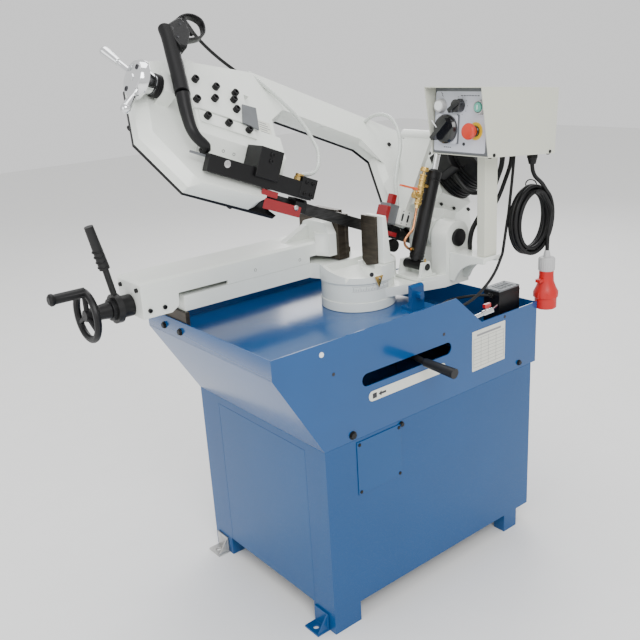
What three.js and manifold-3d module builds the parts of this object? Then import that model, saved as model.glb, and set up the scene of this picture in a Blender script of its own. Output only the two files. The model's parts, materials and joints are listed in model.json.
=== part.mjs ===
// Swivel-head metal-cutting band saw on a sheet-metal cabinet. Millimetres, +Z up.
// X runs along the blade from the vice handwheel to the pivot, Y across the machine.
// Work coordinates start at the cabinet's near front corner on the floor; SHIFT moves them to the
// middle of the object's footprint.
import * as THREE from 'three';
import { mergeVertices } from 'three/addons/utils/BufferGeometryUtils.js';
import Module from 'manifold-3d';

const wasm = await Module();
wasm.setup();

// ---------- driving dimensions ----------
const SHIFT = { x: -239.3, y: -216.2 };
const GAP = 0.3;
const DEG = Math.PI / 180;

const CABINET = { length: 700, width: 510, bottom: 51, top: 470, wall: 3 };
const PANEL = { y0: 73, y1: 426 };
const TRAY = { front: -120, rear: 718, lip: 671, rim: 716, lowRim: 635, deck: 668, sump: 560, wall: 3 };
const NOTCH = { start: 413, end: 503 };
const LEVER_SLOT = { x0: 113, x1: 395, z: 600, half: 15 };

const TURN = { x: 348, y: 272, radius: 92, base: 692, ring: 740 };
const TABLE_TOP = 778;
const VICE = { y: 391, half: 54, nearEnd: -110, bedBottom: 742, beamTop: 830, screwZ: 772 };

const PIVOT = { x: 562, z: 815, radius: 20 };
const BLADE = { y: 274, z: 789, height: 27, thickness: 0.9 };
const BOW_TILT = 41 * DEG;
const BOW_LIFT = 21.5 * DEG;
const WHEEL = { radius: 157.5, front: -72, rear: 673, half: 14 };
const FRAME = { back: -14, face: 24, top: 376, underside: 276 };
const COVER = { front: FRAME.back - GAP, back: -22 };

const CYLINDER = { x: 480, y: 200, z: 750, lean: 18.2 * DEG, barrel: 236, reach: 325 };
const BOX = { x: 474, y0: -40, y1: 130, z: 1034, length: 238, hood: 36, height: 151, pitch: 4.5 * DEG };
const POST = { x0: 542, x1: 587, y0: 26, y1: 50, z0: 783, z1: 1040 };
const PANEL_DEPTH = 2;

// ---------- geometry helpers ----------
function solid(geometry) {
  const bare = geometry.index ? geometry.toNonIndexed() : geometry.clone();
  bare.deleteAttribute('normal');
  bare.deleteAttribute('uv');
  const merged = mergeVertices(bare, 1e-4);
  const vertProperties = new Float32Array(merged.attributes.position.array);
  const triVerts = new Uint32Array(merged.index.array);
  return new wasm.Manifold(new wasm.Mesh({ numProp: 3, vertProperties, triVerts }));
}

function shape(manifold) {
  const mesh = manifold.getMesh();
  const geometry = new THREE.BufferGeometry();
  geometry.setAttribute('position', new THREE.BufferAttribute(new Float32Array(mesh.vertProperties), 3));
  geometry.setIndex(new THREE.BufferAttribute(new Uint32Array(mesh.triVerts), 1));
  geometry.computeVertexNormals();
  return geometry;
}

function join(...parts) {
  return parts.reduce((sum, part) => sum.add(part));
}

function cut(body, ...tools) {
  return tools.reduce((rest, tool) => rest.subtract(tool), body);
}

function box(x0, x1, y0, y1, z0, z1) {
  const geometry = new THREE.BoxGeometry(x1 - x0, y1 - y0, z1 - z0);
  return solid(geometry.translate((x0 + x1) / 2, (y0 + y1) / 2, (z0 + z1) / 2));
}

function extruded(points, depth) {
  const outline = new THREE.Shape(points.map(([a, b]) => new THREE.Vector2(a, b)));
  return new THREE.ExtrudeGeometry(outline, { depth, bevelEnabled: false, curveSegments: 12 });
}

// Outline in X and Y, raised along Z.
function slabZ(points, z0, z1) {
  return solid(extruded(points, z1 - z0).translate(0, 0, z0));
}

// Outline in X and Z, extended along Y.
function slabY(points, y0, y1) {
  return solid(extruded(points, y1 - y0).rotateX(Math.PI / 2).translate(0, y1, 0));
}

// Outline in Y and Z, extended along X.
function slabX(points, x0, x1) {
  const turn = new THREE.Matrix4().makeBasis(
    new THREE.Vector3(0, 1, 0), new THREE.Vector3(0, 0, 1), new THREE.Vector3(1, 0, 0));
  return solid(extruded(points, x1 - x0).applyMatrix4(turn).translate(x0, 0, 0));
}

function taper(from, to, r0, r1, sides = 24) {
  const a = new THREE.Vector3(...from);
  const b = new THREE.Vector3(...to);
  const axis = b.clone().sub(a);
  const geometry = new THREE.CylinderGeometry(r1, r0, axis.length(), sides);
  const turn = new THREE.Quaternion().setFromUnitVectors(new THREE.Vector3(0, 1, 0), axis.normalize());
  const middle = a.add(b).multiplyScalar(0.5);
  return solid(geometry.applyQuaternion(turn).translate(middle.x, middle.y, middle.z));
}

function rod(from, to, radius, sides = 24) {
  return taper(from, to, radius, radius, sides);
}

function ball(centre, radius) {
  return solid(new THREE.SphereGeometry(radius, 16, 10).translate(...centre));
}

// A round bar that follows a smooth curve through the given points.
function tube(points, radius, steps, sides = 8) {
  const path = new THREE.CatmullRomCurve3(points.map((p) => new THREE.Vector3(...p)));
  const section = new THREE.Shape();
  for (let i = 0; i < sides; i++) {
    const angle = (2 * Math.PI * i) / sides;
    const method = i ? 'lineTo' : 'moveTo';
    section[method](radius * Math.cos(angle), radius * Math.sin(angle));
  }
  return new THREE.ExtrudeGeometry(section, { steps, bevelEnabled: false, extrudePath: path });
}

// A solid between two outlines with the same number of corners.
function loft(lower, z0, upper, z1) {
  const count = lower.length;
  const position = [];
  lower.forEach(([x, y]) => position.push(x, y, z0));
  upper.forEach(([x, y]) => position.push(x, y, z1));
  const flat = (points) => points.map(([x, y]) => new THREE.Vector2(x, y));
  const index = [];
  THREE.ShapeUtils.triangulateShape(flat(lower), []).forEach(([a, b, c]) => index.push(a, c, b));
  THREE.ShapeUtils.triangulateShape(flat(upper), []).forEach(([a, b, c]) => {
    index.push(a + count, b + count, c + count);
  });
  for (let i = 0; i < count; i++) {
    const next = (i + 1) % count;
    index.push(i, next, next + count, i, next + count, i + count);
  }
  const geometry = new THREE.BufferGeometry();
  geometry.setAttribute('position', new THREE.Float32BufferAttribute(position, 3));
  geometry.setIndex(index);
  return solid(geometry);
}

// Moves every side of a counter-clockwise outline inwards.
function inset(points, distance) {
  const count = points.length;
  return points.map((point, i) => {
    const before = points[(i + count - 1) % count];
    const after = points[(i + 1) % count];
    const a = new THREE.Vector2(point[0] - before[0], point[1] - before[1]).normalize();
    const b = new THREE.Vector2(after[0] - point[0], after[1] - point[1]).normalize();
    const normalA = new THREE.Vector2(-a.y, a.x);
    const normalB = new THREE.Vector2(-b.y, b.x);
    const corner = normalA.clone().add(normalB).multiplyScalar(distance / (1 + normalA.dot(normalB)));
    return [point[0] + corner.x, point[1] + corner.y];
  });
}

function arc(x, y, radius, from, to, count) {
  const points = [];
  for (let i = 0; i <= count; i++) {
    const angle = (from + ((to - from) * i) / count) * DEG;
    points.push([x + radius * Math.cos(angle), y + radius * Math.sin(angle)]);
  }
  return points;
}

function lathe(profile, sides = 48) {
  const points = profile.map(([r, z]) => new THREE.Vector2(r, z));
  return solid(new THREE.LatheGeometry(points, sides).rotateX(Math.PI / 2));
}

// ---------- materials ----------
function paint(color, roughness = 0.4, metalness = 0) {
  return new THREE.MeshStandardMaterial({ color, roughness, metalness });
}

const BLUE = paint(0x1763ad, 0.3);
const WHITE = paint(0xdfe4dc, 0.35);
const CREAM = paint(0xd5d6c6, 0.4);
const BLACK = paint(0x17181a, 0.5);
const RUBBER = paint(0x111214, 0.7);
const STEEL = paint(0x9a9c9c, 0.35, 0.9);
const CHROME = paint(0xd8dadc, 0.12, 1);
const DARK_STEEL = paint(0x4a4740, 0.45, 0.8);
const BRASS = paint(0xb58a3c, 0.3, 0.9);
const RED = paint(0xd2231f, 0.4);
const GREEN = paint(0x2f9e7e, 0.4);
const PANEL_GREY = paint(0xb9c0c6, 0.4);

// ---------- groups, one for each moving body ----------
const machine = new THREE.Group();
const work = new THREE.Group();
work.position.set(SHIFT.x, SHIFT.y, 0);
machine.add(work);

function add(group, name, body, material) {
  const geometry = body.isBufferGeometry ? body : shape(body);
  const mesh = new THREE.Mesh(geometry, material);
  mesh.name = name;
  group.add(mesh);
}

// ---------- cabinet and tray ----------
function cabinet() {
  const { length, width, bottom, top, wall } = CABINET;
  const shell = cut(
    box(0, length, 0, width, bottom, top),
    box(wall, length - wall, wall, width - wall, bottom - 1, top - wall),
    box(95, 215, -1, wall + 1, 338, 455),
    box(220, 480, 180, 420, top - wall - 1, top + 1),
  );
  const feet = [[0, 79, 0, 78], [0, 79, 432, 510], [602, 653, 0, 35], [602, 653, 475, 510]];
  const legs = feet.map(([x0, x1, y0, y1]) => cut(
    box(x0, x1, y0, y1, 0, bottom + 3), box(x0 + 4, x1 - 4, y0 + 3, y1 - 3, -1, bottom + 4)));
  const panelOpening = box(-1, wall + 1, PANEL.y0, PANEL.y1, bottom - GAP, top - 20);
  return cut(join(shell, ...legs), panelOpening);
}

function footBracket(y) {
  const plate = box(-36, -GAP, y, y + 50, 0, 5);
  const upright = box(-5, -GAP, y, y + 50, 0, 46);
  const web = slabY([[-33, 4], [-4, 4], [-4, 44]], y + 2, y + 6);
  const boltHole = rod([-20, y + 27, -1], [-20, y + 27, 8], 7, 16);
  return cut(join(plate, upright, web), boltHole);
}

function tray() {
  const { front, rear, lip, rim, lowRim, deck, sump, wall } = TRAY;
  const base = CABINET.top + GAP;
  const profile = [[front, rim], [front, lip], [0, base], [rear, base], [rear, lowRim],
    [NOTCH.end, lowRim], [NOTCH.start, rim]];
  const outer = slabY(profile, 0, CABINET.width);
  const w = wall;
  const trough = slabY([[front + w, rim + 1], [front + w, deck], [455, deck], [480, sump],
    [rear - w, sump], [rear - w, rim + 1]], w, CABINET.width - w);
  const below = slabY([[8, base - 1], [8, base + 20], [front + 14, lip - 8], [front + 8, deck - w],
    [452, deck - w], [477, sump - w], [rear - w, sump - w], [rear - w, base - 1]], w, CABINET.width - w);
  const { x0, x1, z, half } = LEVER_SLOT;
  const slot = join(
    box(x0 + half, x1 - half, -1, w + 1, z - half, z + half),
    rod([x0 + half, -1, z], [x0 + half, w + 1, z], half),
    rod([x1 - half, -1, z], [x1 - half, w + 1, z], half),
  );
  const spindle = rod([TURN.x, TURN.y, deck - 9], [TURN.x, TURN.y, deck + 1], 26);
  return cut(outer, trough, below, slot, spindle);
}

// ---------- turntable, table and vice bed ----------
function turntableBase() {
  const disc = rod([TURN.x, TURN.y, TRAY.deck + GAP], [TURN.x, TURN.y, TURN.base], TURN.radius + 2, 48);
  return cut(disc, rod([TURN.x, TURN.y, 600], [TURN.x, TURN.y, 700], 25));
}

function swivelSpindle() {
  const pin = rod([TURN.x, TURN.y, 622], [TURN.x, TURN.y, TURN.ring + 8], 18, 32);
  const nut = rod([TURN.x, TURN.y, 600], [TURN.x, TURN.y, 622], 17, 6);
  return join(pin, nut);
}

function viceBed() {
  const z0 = TURN.ring + GAP;
  const { y, half, nearEnd, bedBottom } = VICE;
  const disc = rod([TURN.x, TURN.y, z0], [TURN.x, TURN.y, TABLE_TOP], 97, 48);
  const ramp = slabX([[150, TABLE_TOP + 1], [297, TABLE_TOP + 1], [297, TABLE_TOP], [214, z0 + 15],
    [150, z0 + 15]], 200, 342);
  const jawSeat = slabZ([[342, 185], [392, 184], [418, 215], [418, 262], [342, 262]], z0, TABLE_TOP);
  const underJaw = slabZ([[250, 337], [266, 297], [384, 293], [410, 330], [410, 448], [250, 448]],
    z0, TABLE_TOP);
  const bed = box(nearEnd, 260, y - half, y + half, bedBottom, TABLE_TOP);
  const channel = box(nearEnd - 1, 236, y - 20, y + 20, bedBottom + 8, TABLE_TOP + 1);
  const spindleHole = rod([TURN.x, TURN.y, z0 - 1], [TURN.x, TURN.y, TURN.ring + 8 + GAP], 18 + GAP, 32);
  const bladeSlot = box(262, 460, 262, 289.5, z0 + 20, TABLE_TOP + 1);
  const jawRelief = box(340, 358.6, 200, 257, 767, TABLE_TOP + 1);
  return cut(join(cut(disc, ramp), jawSeat, underJaw, bed), channel, spindleHole, bladeSlot, jawRelief);
}

function supportPlate() {
  return box(TRAY.front + TRAY.wall + GAP, TRAY.front + 14, 328, 454, TRAY.deck + GAP, VICE.bedBottom - GAP);
}

function nearJaw() {
  const upright = slabY([[358.6, TABLE_TOP + GAP], [392, TABLE_TOP + GAP], [392, 790], [382, 796], [370, 896],
    [358.6, 896]], 184, 256);
  return cut(upright, slabX([[257, 884], [257, 897], [243, 897]], 350, 400));
}

function nearJawPlate() {
  return slabX([[203, 776], [241, 768], [256, 782], [256, 893], [203, 893]], 352, 358.6 - GAP);
}

function farJaw() {
  const foot = box(352, 392, 345, 441, TABLE_TOP + GAP, 792);
  return join(foot, slabY([[352, 779], [378, 779], [368, 893], [352, 893]], 345, 441));
}

function screwNut() {
  const block = box(-20, 16, VICE.y - 19, VICE.y + 19, VICE.bedBottom + 8 + GAP, TABLE_TOP);
  return cut(block, rod([-30, VICE.y, VICE.screwZ], [30, VICE.y, VICE.screwZ], 8.4));
}

function angleStop() {
  const upright = slabX([[112, 671], [112, 726], [118, 731], [124, 731], [124, 671]], 379, 421);
  const foot = box(379, 421, 112, 150, TRAY.deck + GAP, 675);
  const bolt = rod([400, 98, 705], [400, 112.5, 705], 9, 6);
  return join(upright, foot, bolt);
}

function coolantPump() {
  const body = box(600, 680, 26, 76, TRAY.sump + GAP, 672);
  const lid = loft([[599, 25], [681, 25], [681, 77], [599, 77]], 671.5,
    [[601, 27], [679, 27], [679, 75], [601, 75]], 681);
  return join(body, lid);
}

function tapBody() {
  const spout = rod([522, 14, 647], [494, 14, 645], 6, 12);
  const barrel = rod([556, 14, 648], [520, 14, 647], 8, 12);
  const inlet = rod([551, 14, 648], [597, 33, 648], 6, 12);
  return join(barrel, spout, inlet, rod([538, 14, 648], [538, 14, 658], 5, 12));
}

function tapLever() {
  return join(rod([538, 14, 658 + GAP], [538, 14, 663], 5, 12), box(527, 549, 10, 18, 661, 670));
}

function lockLever() {
  const grip = taper([285, -22, 600], [287, -108, 596], 10, 12, 20);
  const bar = rod([TURN.x - 16, TURN.y - 22, 612], [285, -18, 600], 7, 12);
  const hub = cut(
    rod([TURN.x, TURN.y, 602], [TURN.x, TURN.y, 619], 30, 24),
    rod([TURN.x, TURN.y, 590], [TURN.x, TURN.y, 630], 18.6, 24),
  );
  return join(grip, ball([285, -21, 600], 9), bar, hub);
}

function buildBase() {
  add(work, 'cabinet', cabinet(), BLUE);
  const { bottom, top } = CABINET;
  add(work, 'front_panel', box(0, 3, PANEL.y0 + GAP, PANEL.y1 - GAP, bottom, top - 20 - GAP), BLUE);
  add(work, 'access_cover', box(88, 222, -2.5, -GAP, 331, 462), BLUE);
  add(work, 'foot_front_near', footBracket(22), STEEL);
  add(work, 'foot_front_far', footBracket(448), STEEL);
  add(work, 'tray', tray(), BLUE);
  add(work, 'turntable_base', turntableBase(), WHITE);
  add(work, 'swivel_spindle', swivelSpindle(), STEEL);
  add(work, 'vice_bed', viceBed(), WHITE);
  add(work, 'support_plate', supportPlate(), DARK_STEEL);
  add(work, 'near_jaw', nearJaw(), WHITE);
  add(work, 'near_jaw_plate', nearJawPlate(), DARK_STEEL);
  add(work, 'far_jaw', farJaw(), DARK_STEEL);
  add(work, 'screw_nut', screwNut(), BRASS);
  add(work, 'angle_stop', angleStop(), BLUE);
  add(work, 'coolant_pump', coolantPump(), BLACK);
  add(work, 'tap_body', tapBody(), CHROME);
  add(work, 'tap_lever', tapLever(), RED);
  add(work, 'swivel_lock_lever', lockLever(), BLACK);
}

// ---------- sliding vice jaw ----------
function viceBeam() {
  const { y, half, beamTop } = VICE;
  const bottom = TABLE_TOP + GAP;
  const side = [[-213, 748], [-142, 748], [-124, 760], [-122, bottom + 10], [8, bottom + 10], [8, bottom],
    [250, bottom], [250, 794], [300, 794], [300, beamTop], [-207, beamTop], [-213, beamTop - 6]];
  const beam = slabY(side, y - half, y + half);
  const edge = slabX([[y - half - 1, beamTop + 1], [y - half - 1, beamTop - 6], [y - half + 8, beamTop + 1]],
    -220, 280);
  const flange = slabX([[300, 794], [446, 794], [446, 830], [400, 872], [385, 877], [317, 877], [300, 850]],
    284, 308);
  const rib = slabY([[205, beamTop - 1], [290, beamTop - 1], [290, 868]], y - 10, y + 10);
  const flare = slabZ([[270, y - half + 1], [285, 300], [285, 360]], 794, 850);
  const hollow = box(-100, 276, y - half + 8, y + half - 8, bottom - 1, beamTop - 8);
  const screwHole = rod([-220, y, VICE.screwZ], [-90, y, VICE.screwZ], 10.5);
  return cut(join(cut(beam, edge), flange, rib, flare), hollow, screwHole);
}

function movingJaw() {
  const block = slabX([[292, 782], [448, 782], [448, 880], [300, 880], [292, 870]], 308 + GAP, 331);
  return join(block, box(330, 341, 290, 450, 781, 893));
}

function screwHousing() {
  const { y, screwZ } = VICE;
  const sleeve = rod([-265, y, screwZ], [-213 - GAP, y, screwZ], 25, 32);
  return cut(sleeve, rod([-280, y, screwZ], [-200, y, screwZ], 10.5));
}

function viceHandwheel() {
  const { y, screwZ } = VICE;
  const rim = solid(new THREE.TorusGeometry(53, 8, 10, 36).rotateY(Math.PI / 2).translate(-316, y, screwZ));
  const hub = taper([-322, y, screwZ], [-265.6, y, screwZ], 13, 19, 20);
  const spokes = [90, 210, 330].map((angle) => rod([-316, y, screwZ],
    [-316, y + 50 * Math.cos(angle * DEG), screwZ + 50 * Math.sin(angle * DEG)], 6, 8));
  const screw = rod([-270, y, screwZ], [180, y, screwZ], 8, 16);
  const grip = rod([-316, y - 4, screwZ + 53], [-392, y - 4, screwZ + 53], 11, 16);
  return join(rim, hub, screw, grip, ...spokes);
}

function quickLever() {
  const { y, screwZ } = VICE;
  const collar = cut(rod([-256, y, screwZ], [-242, y, screwZ], 33, 32),
    rod([-260, y, screwZ], [-238, y, screwZ], 25.4, 32));
  const arm = rod([-249, y, screwZ + 29], [-262, y, screwZ + 96], 7, 12);
  return join(collar, arm, taper([-262, y, screwZ + 92], [-284, y, screwZ + 188], 12, 10, 16));
}

function buildVice() {
  add(work, 'vice_beam', viceBeam(), WHITE);
  add(work, 'moving_jaw', movingJaw(), DARK_STEEL);
  add(work, 'screw_housing', screwHousing(), BLACK);
  add(work, 'vice_handwheel', viceHandwheel(), BLACK);
  add(work, 'quick_lever', quickLever(), BLACK);
}

// ---------- swivelling arm with the control post ----------
function ear(y0, y1) {
  const { x, z } = PIVOT;
  const outline = [[x - 42, 700], [x + 42, 700], ...arc(x, z, 42, 0, 180, 14)];
  return slabY(outline, y0, y1);
}

function swivelArm() {
  const z0 = TURN.base + GAP;
  const ring = rod([TURN.x, TURN.y, z0], [TURN.x, TURN.y, TURN.ring], TURN.radius, 48);
  const neck = slabZ([[344, 186], [515, 130], [604, 130], [604, 265], [515, 265], [344, 345]], z0 + 2, 718);
  const saddle = slabZ([[452, 152], [515, 130], [604, 130], [604, 265], [452, 285]], 700, 726);
  const spindleHole = rod([TURN.x, TURN.y, 680], [TURN.x, TURN.y, 750], 18 + GAP, 32);
  const shaftHole = rod([PIVOT.x, 100, PIVOT.z], [PIVOT.x, 300, PIVOT.z], PIVOT.radius + GAP, 32);
  const step = box(430, 520, 150, 290, 718.5, 730);
  const boss = rod([PIVOT.x, 170, PIVOT.z], [PIVOT.x, 193, PIVOT.z], 30, 32);
  return cut(join(ring, neck, cut(saddle, step), ear(130, 180), boss, ear(245, 258)), spindleHole, shaftHole);
}

function pivotShaft() {
  const { x, z, radius } = PIVOT;
  return join(rod([x, 127, z], [x, 260, z], radius, 32), rod([x, 122, z], [x, 129.5, z], 22.5, 32));
}

function cylinderClevis() {
  const { x, y, z } = CYLINDER;
  const base = box(x - 34, x + 34, y - 42, y + 42, 719, 727);
  const lug = [[x - 22, 726], [x + 22, 726], [x + 13, z + 12], [x - 13, z + 12]];
  const lugs = [slabY(lug, y - 40, y - 32), slabY(lug, y + 32, y + 40)];
  return join(base, ...lugs, rod([x, y - 43, z], [x, y + 43, z], 8, 20));
}

function postBracket() {
  const root = 130 - GAP;
  const arch = [[root, 709], [115, 709], [104, 730], [88, 747], [64, 760], [40, 766], [20, 768], [20, 775],
    [root, 775]];
  return join(box(532, 592, 20, root, 773, POST.z0), slabX(arch, 532, 542), slabX(arch, 582, 592));
}

function controlPost() {
  const { x0, x1, y0, y1, z0, z1 } = POST;
  const outer = box(x0, x1, y0, y1, z0 + GAP, z1);
  return cut(outer, box(x0 + 2.5, x1 - 2.5, y0 + 2.5, y1 - 2.5, z0, z1 + 1));
}

// Everything on the control box is drawn upright from its lower near front corner, then pitched.
const panelGroup = new THREE.Group();
panelGroup.position.set(BOX.x, 0, BOX.z);
panelGroup.rotation.y = BOX.pitch;

function controlBox() {
  const { x, y0, y1, length, hood, height } = BOX;
  const outer = slabY([[0, 0], [length + 4, 0], [length, height], [-hood, height]], y0, y1);
  const w = 2.5;
  const inner = box(PANEL_DEPTH + 2, length - w, y0 + w, y1 - w, w, height - w);
  const mouth = slabY([[-hood - 1, -1], [PANEL_DEPTH + 3, w], [PANEL_DEPTH + 3, height - w],
    [-hood - 1, height - w]], y0 + w, y1 - w);
  const cableHole = rod([186, 76, -1], [186, 76, 5], 16, 20);
  const glandHole = rod([LEAD.x - x, LEAD.y, -3], [LEAD.x - x, LEAD.y, 5], 9.5, 20);
  const postHole = box(POST.x0 - x - 4, POST.x1 - x + 6, POST.y0 - 2, POST.y1 + 2, -10, 5);
  return cut(outer, inner, mouth, cableHole, glandHole, postHole);
}

function controlPanel() {
  const { y0, y1, height } = BOX;
  const plate = box(PANEL_DEPTH - 1, PANEL_DEPTH + 1.5, y0 + 3, y1 - 3, 3, height - 3);
  const [iy, iz] = CONTROLS.isolator;
  const isolatorPlate = box(PANEL_DEPTH - 8, PANEL_DEPTH, iy - 32, iy + 32, iz - 32, iz + 32);
  const [by, bz] = CONTROLS.start;
  const bezel = taper([PANEL_DEPTH, by, bz], [PANEL_DEPTH - 12, by, bz], 15, 14, 28);
  const holes = Object.values(CONTROLS).map(
    ([y, z, r]) => rod([PANEL_DEPTH - 20, y, z], [PANEL_DEPTH + 4, y, z], r, 24));
  return cut(join(plate, isolatorPlate, bezel), ...holes);
}

// Position across the panel, height and stem radius of each control.
const CONTROLS = {
  lamp: [106, 109, 11],
  selector: [51, 110, 7],
  start: [-12, 108, 11],
  isolator: [82, 58, 7],
  stop: [1, 56, 9],
};

function knob([y, z, stem], profile) {
  const body = lathe(profile).rotate([0, -90, 0]).translate([PANEL_DEPTH, y, z]);
  const neck = rod([PANEL_DEPTH + 8, y, z], [PANEL_DEPTH - profile[0][1] - 2, y, z], stem - GAP, 20);
  return join(body, neck);
}

// A straight grip lying on a rotary control, turned to its rest angle.
function pointer([y, z], halfLength, halfWidth, z0, z1, angle) {
  const bar = box(-halfWidth, halfWidth, -halfLength, halfLength, z0, z1);
  return bar.rotate([0, -90, 0]).rotate([angle, 0, 0]).translate([PANEL_DEPTH, y, z]);
}

function buildControls() {
  const { lamp, selector, start, isolator, stop } = CONTROLS;
  add(panelGroup, 'pilot_lamp', knob(lamp, [[0, 1.5], [15, 1.5], [14.5, 9], [12, 12], [11, 15], [0, 15.5]]),
    PANEL_GREY);
  add(panelGroup, 'selector_knob', join(
    knob(selector, [[0, 1.5], [15, 1.5], [14, 18], [12, 20], [0, 20]]),
    pointer(selector, 20, 5, 9, 24, -35)), BLACK);
  add(panelGroup, 'start_button', knob(start,
    [[0, 8], [10.6, 8], [10.6, 15], [9.5, 16.5], [0, 16.5]]), GREEN);
  add(panelGroup, 'isolator_knob', join(
    knob(isolator, [[0, 8.5], [33, 8.5], [33, 14], [29, 20], [0, 20]]),
    pointer(isolator, 31, 5, 18, 38, -45)), BLACK);
  add(panelGroup, 'emergency_stop', knob(stop,
    [[0, 13], [13, 13], [14, 19], [18, 22], [18.5, 27], [16, 32], [0, 34]]), RED);
}

// ---------- mains lead, coiled under the control box ----------
const LEAD = { x: 694, y: 8, radius: 5, coilX: 712, coilY: 20, coilTop: 936, coilBottom: 758 };
const PLUG = { x: 750, y: -3 };

function mainsGland() {
  const nut = rod([LEAD.x, LEAD.y, 1004], [LEAD.x, LEAD.y, 1014.5], 14, 6);
  const body = taper([LEAD.x, LEAD.y, 989], [LEAD.x, LEAD.y, 1005], 8.5, 12, 20);
  const thread = rod([LEAD.x, LEAD.y, 1010], [LEAD.x, LEAD.y, 1024], 7.8, 20);
  const bore = rod([LEAD.x, LEAD.y, 980], [LEAD.x, LEAD.y, 1030], LEAD.radius + GAP, 16);
  return cut(join(nut, body, thread), bore);
}

function mainsLead() {
  const points = [[LEAD.x, LEAD.y, 1026], [LEAD.x, LEAD.y, 1005], [LEAD.x, LEAD.y, 984],
    [LEAD.x + 4, LEAD.y + 1, 965], [LEAD.x + 11, LEAD.y + 4, 951],
    [LEAD.coilX + 2, LEAD.y + 6, LEAD.coilTop + 3]];
  return tube(points, LEAD.radius - GAP, 20, 10);
}

function leadCoil() {
  const { coilX, coilY, coilTop, coilBottom } = LEAD;
  const middle = (coilTop + coilBottom) / 2;
  const oval = (a, b) => arc(0, 0, 1, 0, 345, 23).map(([x, z]) => [coilX + a * x, middle + b * z]);
  const half = (coilTop - coilBottom) / 2;
  const hole = slabY(oval(52, half - 26), coilY - 30, coilY + 30);
  return cut(slabY(oval(76, half), coilY - 18, coilY + 18), hole);
}

function mainsPlug() {
  const profile = [[0, 613], [28, 613], [28, 640], [31, 643], [31, 658], [24, 668], [18, 684], [18, 712],
    [20.5, 714], [20.5, 744], [16, 748], [5, 748], [5, 815], [0, 815]];
  return lathe(profile, 32).translate([PLUG.x, PLUG.y, 0]);
}

function buildArm() {
  add(work, 'swivel_arm', swivelArm(), WHITE);
  add(work, 'pivot_shaft', pivotShaft(), BLACK);
  add(work, 'cylinder_clevis', cylinderClevis(), WHITE);
  add(work, 'post_bracket', postBracket(), WHITE);
  add(work, 'control_post', controlPost(), CREAM);
  add(panelGroup, 'control_box', controlBox(), CREAM);
  add(panelGroup, 'control_panel', controlPanel(), PANEL_GREY);
  buildControls();
  work.add(panelGroup);
  add(work, 'mains_gland', mainsGland(), BLACK);
  add(work, 'mains_lead', mainsLead(), RUBBER);
  add(work, 'lead_coil', leadCoil(), RUBBER);
  add(work, 'mains_plug', mainsPlug(), RED);
}

// ---------- hydraulic cylinder ----------
const cylinderGroup = new THREE.Group();
cylinderGroup.position.set(CYLINDER.x, CYLINDER.y, CYLINDER.z);
cylinderGroup.rotation.y = CYLINDER.lean;

function cylinderBarrel() {
  const eye = cut(rod([0, -31, 0], [0, 31, 0], 12, 20), rod([0, -40, 0], [0, 40, 0], 8 + GAP, 20));
  const barrel = rod([0, 0, 14], [0, 0, CYLINDER.barrel], 18.5, 32);
  const cap = rod([0, 0, CYLINDER.barrel - 16], [0, 0, CYLINDER.barrel], 20, 32);
  const neck = rod([0, 0, 9], [0, 0, 15], 14, 20);
  const bore = rod([0, 0, 30], [0, 0, CYLINDER.barrel + 1], 8 + GAP, 20);
  return cut(join(eye, neck, barrel, cap), bore);
}

function flowValve() {
  const body = rod([-39, -4, 146], [-39, -4, 222], 8.5, 12);
  const port = rod([-39, -4, 196], [-19, -4, 196], 6, 12);
  const cock = rod([-39, -4, 168], [-60, -4, 168], 8, 12);
  const stem = (x, z0, z1) => rod([x, -4, z0], [x, -4, z1], 3.5, 12);
  return join(body, port, cock, stem(-39, 220, 229), stem(-58, 170, 180));
}

function valveKnob() {
  const flange = rod([-39, -4, 231], [-39, -4, 236], 11.5, 16);
  return join(rod([-39, -4, 229 + GAP], [-39, -4, 240], 10, 16), flange);
}

function cockLever() {
  const handle = box(-110, -56, -8.5, 0.5, 181.5, 186);
  return join(rod([-58, -4, 180 + GAP], [-58, -4, 187], 6.5, 16), handle);
}

function cylinderRod() {
  const pole = rod([0, 0, 60], [0, 0, CYLINDER.reach - 20], 8, 20);
  const head = cut(rod([0, -12, CYLINDER.reach], [0, 12, CYLINDER.reach], 24, 24),
    rod([0, -20, CYLINDER.reach], [0, 20, CYLINDER.reach], 17, 24));
  return join(pole, head);
}

function buildCylinder() {
  add(cylinderGroup, 'cylinder_barrel', cylinderBarrel(), BLACK);
  add(cylinderGroup, 'flow_valve', flowValve(), BRASS);
  add(cylinderGroup, 'valve_knob', valveKnob(), BRASS);
  add(cylinderGroup, 'cock_lever', cockLever(), RED);
  add(cylinderGroup, 'cylinder_rod', cylinderRod(), CHROME);
  work.add(cylinderGroup);
}

// ---------- bow: upright parts, drawn with the blade level ----------
const bowGroup = new THREE.Group();
bowGroup.position.set(PIVOT.x, 0, PIVOT.z);
bowGroup.rotation.y = BOW_LIFT;
const bow = new THREE.Group();
bow.position.set(-PIVOT.x, 0, -PIVOT.z);
bowGroup.add(bow);

// Parts in the plane of the band wheels: x along the blade, y up the slope, z towards the operator.
const plane = new THREE.Group();
plane.position.set(0, BLADE.y, BLADE.z);
plane.rotation.x = 90 * DEG - BOW_TILT;
bow.add(plane);

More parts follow.
